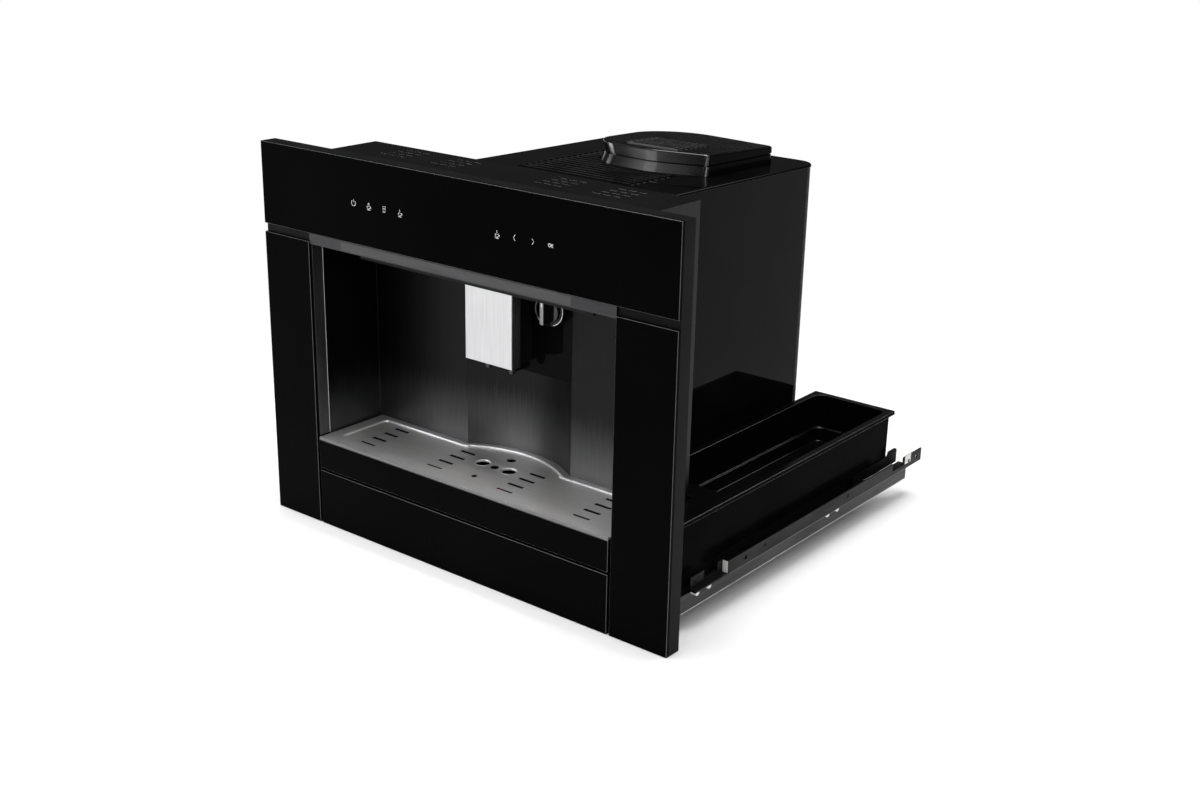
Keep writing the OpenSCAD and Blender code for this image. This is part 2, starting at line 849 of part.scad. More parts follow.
module bean_hopper() {
    color("dimgray") difference() {
        hull() {
            on_top() translate([0, 0, -top_t - hopper_rim_h])
                linear_extrude(hopper_rim_h) lid_inner(hopper_rim_in);
            at_front() translate([grinder_x, grinder_y, hopper_z])
                cylinder(r = hopper_neck + wall_t, h = wall_t);
        }
        hull() {
            on_top() translate([0, 0, -top_t - hopper_rim_h])
                linear_extrude(hopper_rim_h + over) lid_inner(hopper_in);
            at_front() translate([grinder_x, grinder_y, hopper_z - over])
                cylinder(r = hopper_neck, h = wall_t + over);
        }
    }
}

module grinder_housing() {
    color("dimgray") at_front() translate([grinder_x, grinder_y, grinder_z]) difference() {
        cylinder(r = grinder_r, h = grinder_h);
        translate([0, 0, grinder_floor]) cylinder(r = burr_r, h = grinder_h);
        translate([0, 0, -over]) cylinder(r = shaft_r + knob_bore_clear, h = grinder_floor + 2 * over);
    }
}

module upper_burr() {
    z = burr_z + burr_h + burr_gap;
    color("silver") at_front() translate([grinder_x, grinder_y, z]) difference() {
        cylinder(r = burr_r, h = burr_h);
        translate([0, 0, -over]) cylinder(r = burr_bore_r + burr_cone, h = over + clear);
        cylinder(r1 = burr_bore_r + burr_cone, r2 = burr_bore_r, h = burr_h / 2);
        cylinder(r = burr_bore_r, h = burr_h + over);
    }
}

module lower_burr() {
    z0 = grinder_z - shaft_in + over;
    color("silver") at_front() translate([grinder_x, grinder_y, 0]) {
        translate([0, 0, burr_z]) cylinder(r = burr_r - over, h = burr_h);
        translate([0, 0, z0]) cylinder(r = shaft_r, h = burr_z - z0 + over);
    }
}

module grinder_motor() {
    color("gray") at_front() translate([grinder_x, grinder_y, deck_z1]) difference() {
        cylinder(r = motor_r, h = grinder_z - deck_z1);
        translate([0, 0, grinder_z - deck_z1 - shaft_in])
            cylinder(r = shaft_r + knob_bore_clear, h = shaft_in + over);
    }
}

module brew_frame() {
    low = [brew_x - brew_w / 2, brew_y, deck_z1];
    high = [brew_x + brew_w / 2, brew_y + brew_d, deck_z1 + brew_h];
    shelf_z1 = deck_z1 + brew_shelf_h;
    mid_y = brew_y + brew_d / 2;
    color("gray") at_front() difference() {
        span(low, high);
        span([low[0] + brew_wall, low[1] - over, low[2] - over],
            [high[0] - brew_wall, high[1] + over, shelf_z1 - brew_wall]);
        span([low[0] + brew_wall, low[1] - over, shelf_z1],
            [high[0] - brew_wall, high[1] + over, high[2] - brew_wall]);
        translate([brew_x, mid_y, shelf_z1 - brew_wall - over])
            cylinder(r = outlet_r, h = brew_wall + 2 * over);
        translate([brew_x, mid_y, high[2] - brew_wall - over])
            cylinder(r = rod_r + knob_bore_clear, h = brew_wall + 2 * over);
    }
}

module brew_chamber() {
    z = deck_z1 + brew_shelf_h;
    color("gainsboro") at_front() translate([brew_x, brew_y + brew_d / 2, z]) difference() {
        cylinder(r = chamber_r + chamber_wall, h = chamber_h);
        translate([0, 0, -over]) cylinder(r = chamber_r, h = chamber_h + 2 * over);
    }
}

module brew_piston() {
    z = deck_z1 + brew_shelf_h + chamber_h + piston_up - piston_h;
    color("ivory") at_front() translate([brew_x, brew_y + brew_d / 2, z]) {
        cylinder(r = chamber_r - pin_clear, h = piston_h);
        cylinder(r = rod_r, h = rod_length);
    }
}

module thermoblock() {
    color("silver") at_front() span([heater_x - heater_w / 2, brew_y + clear, deck_z1],
        [heater_x + heater_w / 2, brew_y + heater_d, deck_z1 + heater_h]);
}

module pump() {
    z = deck_z1 + pump_foot + pump_r;
    color("gray") at_front() {
        rod_y(pump_x, z, pump_r, pump_y, pump_y + pump_length);
        span([pump_x - pump_r / 2, pump_y, deck_z1], [pump_x + pump_r / 2, pump_y + pump_length, z]);
    }
}

module water_hose() {
    z = deck_z1 + pump_foot + pump_r;
    color("white") at_front() {
        rod_y(pump_x, z, hose_r, hose_y, pump_y);
        rod_x(hose_y, z, hose_r, pump_x, heater_x);
        rod_y(heater_x, z, hose_r, hose_y, brew_y + clear);
        for (x = [pump_x, heater_x]) translate([x, hose_y, z]) sphere(hose_r, $fn = 32);
    }
}

module steam_valve() {
    y0 = niche_d + wall_t;
    half = valve_w / 2;
    color("goldenrod") at_front() difference() {
        span([knob_x - half, y0, knob_z - half], [knob_x + half, y0 + valve_d, knob_z + half]);
        rod_y(knob_x, knob_z, knob_shaft_r + knob_bore_clear, y0 - over, y0 + valve_d - wall_t);
    }
}

module power_board() {
    x0 = body_x0 + sheet_t;
    y1 = power_board_y + power_board_l;
    z1 = power_board_z + power_board_h;
    color("darkgreen") at_front() {
        span([x0 + board_x_gap, power_board_y, power_board_z], [x0 + board_x_gap + board_t, y1, z1]);
        for (y = [power_board_y + board_rim, y1 - board_rim], z = [power_board_z + board_rim, z1 - board_rim])
            rod_x(y, z, standoff_r, x0, x0 + board_x_gap);
    }
}

module mains_inlet() {
    x = inlet_w / 2;
    color("black") at_front() difference() {
        span([inlet_x - x, body_d - inlet_d, inlet_z], [inlet_x + x, body_d, inlet_z + inlet_h]);
        span([inlet_x - x + inlet_wall, body_d - inlet_d + inlet_wall, inlet_z + inlet_wall],
            [inlet_x + x - inlet_wall, body_d + over, inlet_z + inlet_h - inlet_wall]);
    }
}

module water_tank() {
    color("lightblue") at_front() {
        difference() {
            round_span([tank_x0, tank_y0, tank_z0], [tank_x1, tank_y1, tank_z0 + tank_h], tank_r);
            round_span([tank_x0 + wall_t, tank_y0 + wall_t, tank_z0 + wall_t],
                [tank_x1 - wall_t, tank_y1 - wall_t, tank_z0 + tank_h + over], tank_r - wall_t);
        }
        translate([dock_x, dock_y, tank_z0 - valve_l]) cylinder(r = valve_r, h = valve_l + wall_t);
    }
}

module tank_lid() {
    z = tank_z0 + tank_h;
    lip = wall_t + clear;
    color("black") at_front() {
        round_span([tank_x0 - tank_lid_lip, tank_y0 - tank_lid_lip, z],
            [tank_x1 + tank_lid_lip, tank_y1 + tank_lid_lip, z + tank_lid_h], tank_r);
        round_span([tank_x0 + lip, tank_y0 + lip, z - tank_lid_h / 2],
            [tank_x1 - lip, tank_y1 - lip, z + over], tank_r - lip);
    }
}

module side_tray() {
    x1 = side_tray_x1 - side_tray_inset;
    x0 = side_tray_x0 + side_tray_inset;
    y1 = side_tray_d - side_tray_inset;
    y0 = side_tray_y0 + side_tray_inset;
    rim_z = side_tray_z - side_tray_rim;
    under_z = side_ledge_z - wall_t;
    low = [side_well_x0, side_well_y0];
    high = [side_well_x1, side_tray_d - side_tray_x1 + side_well_x1];
    ledge = [side_ledge_w, side_ledge_w];
    wall = [wall_t, wall_t];
    r = side_well_r - side_ledge_w;
    color("black") at_front() difference() {
        union() {
            span([side_tray_x0, side_wing_y1, rim_z], [side_tray_x1, side_tray_d, side_tray_z]);
            span([side_wing_x0, side_tray_y0, rim_z], [side_tray_x1, side_wing_y1 + over, side_tray_z]);
            span([x0, side_wing_y1 + side_tray_inset, side_tray_foot], [x1, y1, side_tray_z]);
            span([side_wing_x0, y0, side_tray_foot], [x1, side_wing_y1 + 2 * side_tray_inset, side_tray_z]);
        }
        translate([0, 0, side_ledge_z])
            linear_extrude(side_tray_well + over) round_rect(low, high, side_well_r);
        translate([0, 0, side_floor_z])
            linear_extrude(side_tray_well) round_rect(low + ledge, high - ledge, r);
        translate([0, 0, side_tray_foot - over])
            linear_extrude(under_z - side_tray_foot + over) difference() {
                translate([x0 + wall_t, side_wing_y1 + side_tray_inset + wall_t])
                    square([x1 - x0 - 2 * wall_t, y1 - side_wing_y1 - side_tray_inset - 2 * wall_t]);
                round_rect(low + ledge - wall, high - ledge + wall, r + wall_t);
            }
        span([side_wing_x0 + wall_t, y0 + wall_t, side_tray_foot - over],
            [x1 - wall_t, side_wing_y1 + 2 * side_tray_inset, under_z]);
    }
}

module cover_screws() {
    color("silver") at_front()
        for (x = screw_xs, z = screw_zs) {
            rod_y(x, z, screw_head_r, body_d, body_d + screw_head_h);
            rod_y(x, z, screw_shank_r, body_d - screw_l, body_d + screw_head_h);
        }
}

module spout_body() {
    x = spout_w / 2;
    rear_x = spout_rear_w / 2;
    rail_half = spout_rail_w / 2 + clear;
    shell_y = spout_y + spout_face_t;
    color("gray") at_front() difference() {
        union() {
            span([-x, shell_y, spout_z], [x, shell_y + spout_shell_d, spout_z + spout_h]);
            span([-rear_x, shell_y, spout_z], [rear_x, niche_d - clear, spout_z + spout_h]);
        }
        span([-rail_half, niche_d - spout_rail_d - clear, spout_z - over],
            [rail_half, niche_d + over, spout_z + spout_h + over]);
    }
}

module spout_face() {
    color("whitesmoke") at_front()
        span([-spout_w / 2, spout_y, spout_z], [spout_w / 2, spout_y + spout_face_t, spout_z + spout_h]);
}

module coffee_nozzles() {
    color("black") at_front() for (side = [-1, 1]) translate([side * nozzle_x, nozzle_y, spout_z - nozzle_h])
        difference() {
            union() {
                cylinder(r1 = nozzle_tip_r, r2 = nozzle_r, h = nozzle_h / 2);
                translate([0, 0, nozzle_h / 2]) cylinder(r = nozzle_r, h = nozzle_h / 2);
            }
            translate([0, 0, -over]) cylinder(r = nozzle_bore_r, h = nozzle_h / 2 + over);
        }
}

module steam_knob() {
    grip = knob_grip_w / 2;
    color("black") at_front() {
        rod_y(knob_x, knob_z, knob_r, knob_disc_y, knob_back_y);
        rod_y(knob_x, knob_z, knob_shaft_r, knob_back_y - over, knob_shaft_y);
        span([knob_x - grip, knob_y, knob_z - knob_r + knob_grip_in],
            [knob_x + grip, knob_disc_y + over, knob_z + knob_r - knob_grip_in]);
    }
}

module knob_ring() {
    color("silver") at_front() difference() {
        rod_y(knob_x, knob_z, knob_ring_r, knob_ring_y, niche_d);
        rod_y(knob_x, knob_z, knob_r + clear, knob_ring_y - over, niche_d + over);
    }
}

// The bulge's round outline behind the flat back wall, drawn in by an amount
module bulge(inset, z0, z1) {
    intersection() {
        translate([hollow_mid, hollow_y, z0]) cylinder(r = hollow_r - inset, h = z1 - z0, $fn = 128);
        span([hollow_x0 + inset, niche_d - 2 * grid_bulge_rim, z0],
            [hollow_x1 - inset, niche_d + hollow_d, z1]);
    }
}

module fascia_glass(z, height) {
    front_glass(-fascia_w / 2, fascia_w / 2, z, z + height);
}

module drip_tray() {
    x = fascia_w / 2 - frame_t;
    y0 = tray_panel_y1;
    z0 = tub_z0;
    color("dimgray") at_front() {
        span([-x, glass_t + clear, z0], [x, tray_panel_y1, tub_z1 - clear]);
        difference() {
            union() {
                span([-tub_x, y0 - over, z0], [tub_x, tub_y1, tub_z1]);
                bulge(2 * wall_t, z0, tub_z1);
            }
            span([-tub_x + wall_t, y0 + wall_t, z0 + wall_t],
                [tub_x - wall_t, tub_y1 - wall_t, tub_z1 + over]);
            bulge(3 * wall_t, z0 + wall_t, tub_z1 + over);
        }
    }
}

module drip_grid() {
    color("silver") at_front() difference() {
        union() {
            span([-grid_x, grid_y0, tub_z1], [grid_x, niche_d - 2 * clear, niche_z]);
            bulge(2 * clear, tub_z1, niche_z);
        }
        span([-grid_field_x, grid_field_y0, niche_z - grid_field_drop],
            [grid_field_x, grid_field_y1, niche_z + over]);
        bulge(grid_bulge_rim, niche_z - grid_field_drop, niche_z + over);
        span([-tub_x + wall_t, grid_field_y0, tub_z1 - over],
            [tub_x - wall_t, grid_field_y1, niche_z - grid_field_drop - grid_sheet_t]);
        for (x = grid_groups_share * fascia_w, y = grid_rows_share * niche_d)
            span([x - grid_slot_l / 2, y - grid_slot_w / 2, tub_z1 - over],
                [x + grid_slot_l / 2, y + grid_slot_w / 2, niche_z + over]);
        for (x = [-hole_big_x, hole_big_x])
            translate([x, hole_big_y, tub_z1 - over]) cylinder(r = hole_big_r, h = grid_t + 2 * over);
        translate([0, float_y, tub_z1 - over]) cylinder(r = float_hole_r, h = grid_t + 2 * over);
        translate([0, drain_y, tub_z1 - over]) cylinder(r = drain_r, h = grid_t + 2 * over);
        translate([0, pick_y, tub_z1 - over]) cylinder(r = pick_r, h = grid_t + 2 * over);
    }
}

module tray_float() {
    z0 = tub_z0 + wall_t + clear;
    color("firebrick") at_front() translate([0, float_y, 0]) {
        translate([0, 0, z0]) cylinder(r = float_foot_r, h = float_foot_h);
        translate([0, 0, z0]) cylinder(r = float_r, h = tub_z1 - float_under - z0);
    }
}

module drawer() {
    x = fascia_w / 2 - frame_t;
    floor_x = drawer_x - sheet_t;
    color("dimgray") at_front() {
        span([-x, glass_t + clear, window_z + frame_t / 2], [x, drawer_panel_y1, drawer_front_h - clear]);
        difference() {
            span([-floor_x, drawer_panel_y1 - over, drawer_z], [floor_x, drawer_back, drawer_z + drawer_h]);
            span([-floor_x + wall_t, drawer_panel_y1 + wall_t, drawer_z + wall_t],
                [floor_x - wall_t, drawer_back - wall_t, drawer_z + drawer_h + over]);
        }
    }
}

module grounds_container() {
    z0 = drawer_z + wall_t;
    color("gray") at_front() difference() {
        span([grounds_x0, grounds_y0, z0], [grounds_x1, grounds_y1, grounds_z1]);
        span([grounds_x0 + wall_t, grounds_y0 + wall_t, z0 + wall_t],
            [grounds_x1 - wall_t, grounds_y1 - wall_t, grounds_z1 + over]);
    }
}

cabinet_bracket(-1);  // cabinet_bracket_left
cabinet_bracket(1);  // cabinet_bracket_right
outer_rail(-1);  // outer_rail_left
outer_rail(1);  // outer_rail_right
middle_rail(-1);  // middle_rail_left
middle_rail(1);  // middle_rail_right
inner_rail(-1);  // inner_rail_left
inner_rail(1);  // inner_rail_right
rail_pads();
base_pan();
deck();
front_frame();
front_glass(-front_w / 2, front_w / 2, control_z, front_h);  // control_glass
side_glass(-1);  // side_glass_left
side_glass(1);  // side_glass_right
header_strip();
niche_lamp();
touch_board();
chassis();
niche_liner();
centre_panel();
spout_housing();
tray_shelf();
side_panel(body_x0);  // side_panel_left
side_panel(body_x1 - sheet_t);  // side_panel_right
rear_cover();
top_cover();
cup_rack();
bean_hopper();
bean_lid();
lid_pin();
upper_burr();
lower_burr();
grinder_housing();
grinder_motor();
brew_frame();
brew_chamber();
brew_piston();
thermoblock();
pump();
water_hose();
steam_valve();
power_board();
mains_inlet();
water_tank();
tank_lid();
side_tray();
cover_screws();
spout_body();
spout_face();
coffee_nozzles();
steam_knob();
knob_ring();
fascia_glass(tray_front_z, tray_front_h);  // tray_glass
drip_tray();
drip_grid();
tray_float();
fascia_glass(0, drawer_front_h);  // drawer_glass
drawer();
grounds_container();
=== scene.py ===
import json
import math

import bpy
from mathutils import Matrix, Vector


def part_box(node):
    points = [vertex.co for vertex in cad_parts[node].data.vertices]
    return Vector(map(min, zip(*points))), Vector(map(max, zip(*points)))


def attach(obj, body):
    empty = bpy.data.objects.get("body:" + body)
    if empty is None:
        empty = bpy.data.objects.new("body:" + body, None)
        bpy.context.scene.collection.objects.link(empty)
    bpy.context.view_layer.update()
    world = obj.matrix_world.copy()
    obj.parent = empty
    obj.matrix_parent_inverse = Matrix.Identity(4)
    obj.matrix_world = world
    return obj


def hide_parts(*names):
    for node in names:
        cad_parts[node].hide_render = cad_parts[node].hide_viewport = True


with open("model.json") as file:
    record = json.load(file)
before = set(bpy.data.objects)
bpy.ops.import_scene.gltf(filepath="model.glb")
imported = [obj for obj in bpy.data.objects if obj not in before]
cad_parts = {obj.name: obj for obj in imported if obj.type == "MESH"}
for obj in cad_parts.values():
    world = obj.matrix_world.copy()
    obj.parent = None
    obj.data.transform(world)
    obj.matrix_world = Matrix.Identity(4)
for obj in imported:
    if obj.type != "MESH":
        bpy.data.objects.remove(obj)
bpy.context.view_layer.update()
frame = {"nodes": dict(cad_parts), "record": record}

FRONT = -287.5          # where the front glass lies along Y, in millimetres
NEAR_ENOUGH = 0.01      # places closer than this, in millimetres, are the same
NODES = frame["nodes"]
SLOT_OF = {s["node"]: s["material_slot"] for s in frame["record"]["subparts"]}
BODY_OF = {n: b for b, nodes in frame["record"]["behaviour"]["bodies"].items() for n in nodes}


# Workbench

def at(x, y, z):
    """A point given in millimetres from the front glass plane, in metres."""
    return Vector((x, y + FRONT, z)) / 1000


def front_mm(p):
    """A point given in metres, in millimetres from the front glass plane."""
    return p * 1000 - Vector((0, FRONT, 0))


def same(a, b):
    return abs(a - b) < NEAR_ENOUGH


def upright(a, b):
    return same(a.x, b.x) and same(a.y, b.y)


def within(p, low, high):
    """Whether a point lies between two corners."""
    return all(a < c < b for a, c, b in zip(low, p, high))


def nothing_picked():
    if bpy.context.mode != "OBJECT":
        bpy.ops.object.mode_set(mode="OBJECT")
    bpy.ops.object.select_all(action="DESELECT")


def pick(*objects):
    nothing_picked()
    for o in objects:
        o.select_set(True)
    bpy.context.view_layer.objects.active = objects[0]


def settle(o, name=None):
    """Puts the object's place into its mesh."""
    pick(o)
    bpy.ops.object.transform_apply(location=True, rotation=True, scale=True)
    if name:
        o.name = name
        o.data.name = name
    return o


def block(low, high, name="block"):
    """A box between two corners."""
    nothing_picked()
    low, high = at(*low), at(*high)
    bpy.ops.mesh.primitive_cube_add(size=1, location=(low + high) / 2, scale=high - low)
    return settle(bpy.context.object, name)


def bar(centre, radius, length, axis="Z", sides=48, name="bar", tip=None):
    """A round bar, or a cone when its tip has another radius."""
    nothing_picked()
    turn = {"Z": (0, 0, 0), "Y": (math.radians(-90), 0, 0), "X": (0, math.radians(90), 0)}[axis]
    bpy.ops.mesh.primitive_cone_add(vertices=sides, radius1=radius / 1000,
                                    radius2=(radius if tip is None else tip) / 1000,
                                    depth=length / 1000, location=at(*centre), rotation=turn)
    return settle(bpy.context.object, name)


def clear_picks(o):
    pick(o)
    for parts in (o.data.vertices, o.data.edges, o.data.polygons):
        for part in parts:
            part.select = False


def start_edit(kind):
    bpy.ops.object.mode_set(mode="EDIT")
    bpy.ops.mesh.select_mode(type=kind)


def pick_edges(o, wanted):
    """Goes into edit mode with the edges picked for which wanted(a, b) holds."""
    clear_picks(o)
    places = [front_mm(v.co) for v in o.data.vertices]
    for e in o.data.edges:
        e.select = bool(wanted(places[e.vertices[0]], places[e.vertices[1]]))
    start_edit("EDGE")


def pick_faces(o, wanted):
    """Goes into edit mode with the faces picked for which wanted(centre, normal) holds."""
    clear_picks(o)
    for f in o.data.polygons:
        f.select = bool(wanted(front_mm(f.center), f.normal))
    start_edit("FACE")


def pick_points(o, wanted):
    """Goes into edit mode with the points picked for which wanted(point) holds."""
    clear_picks(o)
    for v in o.data.vertices:
        v.select = bool(wanted(front_mm(v.co)))
    start_edit("VERT")


def pick_all(o):
    """Goes into edit mode with the whole piece picked."""
    pick(o)
    bpy.ops.object.mode_set(mode="EDIT")
    bpy.ops.mesh.select_all(action="SELECT")


def done():
    bpy.ops.object.mode_set(mode="OBJECT")


def move_points(o, wanted, dx=0.0, dy=0.0):
    """Moves the points for which wanted(point) holds."""
    pick_points(o, wanted)
    bpy.ops.transform.translate(value=(dx / 1000, dy / 1000, 0))
    done()


def resize_points(o, wanted, factors, centre):
    """Resizes the points for which wanted(point) holds about a centre."""
    pick_points(o, wanted)
    bpy.ops.transform.resize(value=factors, center_override=at(*centre))
    done()


def flatten(o, factors, centre):
    """Resizes a whole piece about a centre in metres."""
    pick_all(o)
    bpy.ops.transform.resize(value=factors, center_override=centre)
    done()


def mirror(o):
    """Turns a piece over to the other side of the machine."""
    pick_all(o)
    bpy.ops.transform.mirror(constraint_axis=(True, False, False), center_override=(0, 0, 0))
    bpy.ops.mesh.normals_make_consistent(inside=False)
    done()


def refinish(o, slot, wanted):
    """Gives the faces for which wanted(centre, normal) holds another of the piece's finishes."""
    pick_faces(o, wanted)
    o.active_material_index = slot
    bpy.ops.object.material_slot_assign()
    done()


def round_edges(o, wanted, radius, steps=6, slot=-1):
    pick_edges(o, wanted)
    bpy.ops.mesh.bevel(offset=radius / 1000, segments=steps, affect="EDGES", material=slot)
    done()
    return o


def soften(o, width=0.5, steps=2, angle=35, slot=-1):
    """Breaks every sharp edge of a piece and shades it smooth between them. The broken edges
    take the finish of a slot, if one is given."""
    crease = math.radians(42)
    pick(o)
    m = o.modifiers.new("edge", "BEVEL")
    m.width = width / 1000
    m.segments = steps
    m.limit_method = "ANGLE"
    m.angle_limit = math.radians(angle)
    m.material = slot
    bpy.ops.object.modifier_apply(modifier=m.name)
    bpy.ops.object.shade_smooth_by_angle(angle=crease)
    m = o.modifiers.new("flow", "WEIGHTED_NORMAL")
    m.keep_sharp = True
    m.weight = 60
    bpy.ops.object.modifier_apply(modifier=m.name)
    return o


def cut(o, *tools):
    """Takes the tools' space out of a piece."""
    for t in tools:
        pick(o)
        m = o.modifiers.new("cut", "BOOLEAN")
        m.operation = "DIFFERENCE"
        m.solver = "EXACT"
        m.object = t
        bpy.ops.object.modifier_apply(modifier=m.name)
        bpy.data.objects.remove(t)
    return o


def together(name, *objects):
    pick(*objects)
    if len(objects) > 1:
        bpy.ops.object.join()
    o = bpy.context.object
    o.name = name
    o.data.name = name
    return o


def round_wire(points, radius, rings, name, closed=False):
    """A round wire through points in metres, as a mesh, closed at its ends."""
    curve = bpy.data.curves.new(name, "CURVE")
    curve.dimensions = "3D"
    curve.bevel_depth = radius / 1000
    curve.bevel_resolution = rings
    curve.use_fill_caps = True
    line = curve.splines.new("POLY")
    line.points.add(len(points) - 1)
    for p, place_at in zip(line.points, points):
        p.co = (*place_at, 1)
    line.use_cyclic_u = closed
    o = bpy.data.objects.new(name, curve)
    bpy.context.scene.collection.objects.link(o)
    pick(o)
    bpy.ops.object.convert(target="MESH")
    return bpy.context.object


def from_cad(node):
    """A copy of a CAD node with its loose triangles merged into a clean solid."""
    merge, flat = 0.00002, math.radians(1)
    o = NODES[node].copy()
    o.data = NODES[node].data.copy()
    for key in list(o.keys()):
        del o[key]
    bpy.context.scene.collection.objects.link(o)
    o.parent = None
    o.matrix_world = Matrix.Identity(4)
    o.data.materials.clear()
    pick_all(o)
    bpy.ops.mesh.remove_doubles(threshold=merge)
    bpy.ops.mesh.dissolve_limited(angle_limit=flat)
    done()
    o.name = o.data.name = node + "_piece"
    return o


# Finishes

NOISE_ROUGHNESS = 0.55


class Finish:
    """One procedural material, drawn on Object coordinates."""

    def __init__(self, name, colour, metal=0.0, rough=0.5, level=0.5, **sockets):
        self.mat = bpy.data.materials.new(name)
        self.mat.use_nodes = True
        self.tree = self.mat.node_tree
        self.shader = self.tree.nodes["Principled BSDF"]
        self.place = self.tree.nodes.new("ShaderNodeTexCoord").outputs["Object"]
        self.set("Base Color", (*colour, 1))
        self.set("Metallic", metal)
        self.set("Roughness", rough)
        self.set("Specular IOR Level", level)
        for key, value in sockets.items():
            self.set(key.replace("_", " "), value)
        self.height = None
        self.mat.diffuse_color = (*colour, 1)

    def set(self, socket, value):
        self.shader.inputs[socket].default_value = value

    def link(self, out, into):
        self.tree.links.new(out, into)

    def grain(self, size, stretch=(1, 1, 1), detail=3.0, shift=(0, 0, 0)):
        """Noise with spots of a size in millimetres, stretched along the axes."""
        mapping = self.tree.nodes.new("ShaderNodeMapping")
        mapping.inputs["Location"].default_value = shift
        mapping.inputs["Scale"].default_value = [1 / s for s in stretch]
        self.link(self.place, mapping.inputs["Vector"])
        noise = self.tree.nodes.new("ShaderNodeTexNoise")
        noise.inputs["Scale"].default_value = 1000 / size
        noise.inputs["Detail"].default_value = detail
        noise.inputs["Roughness"].default_value = NOISE_ROUGHNESS
        self.link(mapping.outputs["Vector"], noise.inputs["Vector"])
        return noise.outputs["Fac"]

    def cells(self, size, feature="F1", stretch=(1, 1, 1)):
        """How far each place lies from the middle, or the border, of cells of a size in millimetres."""
        mapping = self.tree.nodes.new("ShaderNodeMapping")
        mapping.inputs["Scale"].default_value = [1 / s for s in stretch]
        self.link(self.place, mapping.inputs["Vector"])
        cell = self.tree.nodes.new("ShaderNodeTexVoronoi")
        cell.feature = feature
        cell.inputs["Scale"].default_value = 1000 / size
        self.link(mapping.outputs["Vector"], cell.inputs["Vector"])
        return cell.outputs["Distance"]

    def colour(self, pattern, dark, light, low=0.3, high=0.7):
        """Lets the colour follow a pattern, from dark at its low value to light at its high one."""
        ramp = self.tree.nodes.new("ShaderNodeValToRGB")
        ramp.color_ramp.elements[0].position = low
        ramp.color_ramp.elements[0].color = (*dark, 1)
        ramp.color_ramp.elements[1].position = high
        ramp.color_ramp.elements[1].color = (*light, 1)
        self.link(pattern, ramp.inputs["Fac"])
        self.link(ramp.outputs["Color"], self.shader.inputs["Base Color"])

    def spread(self, pattern, low, high, into="Roughness", start=0.3, end=0.7):
        """Lets a value of the shader follow a pattern."""
        scale = self.tree.nodes.new("ShaderNodeMapRange")
        scale.inputs["From Min"].default_value = start
        scale.inputs["From Max"].default_value = end
        scale.inputs["To Min"].default_value = low
        scale.inputs["To Max"].default_value = high
        self.link(pattern, scale.inputs["Value"])
        self.link(scale.outputs["Result"], self.shader.inputs[into])

    def painted_glow_by_height(self, pattern, top, foot):
        """Lets a pattern grow from a height down to another, both in metres: a painted glow, paler towards
        the foot.
        """
        least, most, share = 0.22, 0.8, 0.22
        parts = self.tree.nodes.new("ShaderNodeSeparateXYZ")
        self.link(self.place, parts.inputs["Vector"])
        ramp = self.tree.nodes.new("ShaderNodeMapRange")
        ramp.interpolation_type = "SMOOTHSTEP"
        ramp.inputs["From Min"].default_value = top
        ramp.inputs["From Max"].default_value = foot
        ramp.inputs["To Min"].default_value = least
        ramp.inputs["To Max"].default_value = most
        self.link(parts.outputs["Z"], ramp.inputs["Value"])
        blend = self.tree.nodes.new("ShaderNodeMix")
        blend.inputs["Factor"].default_value = share
        self.link(ramp.outputs["Result"], blend.inputs["A"])
        self.link(pattern, blend.inputs["B"])
        return blend.outputs["Result"]

    def relief(self, pattern, depth, strength=0.5):
        """Bumps of a depth in millimetres, laid over those before."""
        bump = self.tree.nodes.new("ShaderNodeBump")
        bump.inputs["Strength"].default_value = strength
        bump.inputs["Distance"].default_value = depth / 1000
        self.link(pattern, bump.inputs["Height"])
        if self.height:
            self.link(self.height, bump.inputs["Normal"])
        self.height = bump.outputs["Normal"]
        self.link(self.height, self.shader.inputs["Normal"])


def powder_coat(name="satin powder coat", shade=1.0):
    """Black powder coat; a shade above one gives a paler copy that paints light, one below one a darker
    copy that paints shade.
    """
    dark = [shade * c for c in (0.0045, 0.0045, 0.0048)]
    light = [shade * c for c in (0.0075, 0.0075, 0.008)]
    f = Finish(name, light, rough=0.34, level=0.035)
    f.colour(f.grain(90), dark, light)
    f.spread(f.grain(35), 0.28, 0.4)
    f.relief(f.grain(0.55, detail=2), 0.04, 0.2)
    return f.mat


def zinc_plate():
    f = Finish("zinc plated steel", (0.3, 0.3, 0.31), metal=1, rough=0.38)
    spangle = f.cells(7)
    f.colour(f.grain(5, (30, 1, 1)), (0.2, 0.2, 0.21), (0.36, 0.36, 0.37))
    f.spread(spangle, 0.3, 0.48, start=0, end=0.7)
    f.relief(f.grain(0.7, (1, 14, 1)), 0.02, 0.25)
    return f.mat


def rail_steel():
    f = Finish("dark rail steel", (0.06, 0.06, 0.062), metal=1, rough=0.4)
    f.colour(f.grain(4, (1, 26, 1)), (0.024, 0.024, 0.025), (0.046, 0.046, 0.048))
    f.spread(f.grain(14, (1, 6, 1)), 0.3, 0.5)
    f.relief(f.grain(0.8, (1, 20, 1)), 0.02, 0.3)
    return f.mat


def bracket_steel():
    f = Finish("black passivated steel", (0.006, 0.006, 0.0065), metal=0.5, rough=0.45, level=0.12)
    f.colour(f.grain(6, (1, 20, 1)), (0.0045, 0.0045, 0.0047), (0.008, 0.008, 0.0083))
    f.spread(f.grain(14, (1, 6, 1)), 0.38, 0.55)
    f.relief(f.grain(0.8, (1, 14, 1)), 0.02, 0.3)
    return f.mat


def white_plastic(name="white slide plastic"):
    f = Finish(name, (0.78, 0.78, 0.75), rough=0.4, Subsurface_Weight=0.05)
    f.colour(f.grain(6), (0.72, 0.72, 0.68), (0.82, 0.82, 0.79))
    f.relief(f.grain(0.6), 0.02, 0.3)
    return f.mat


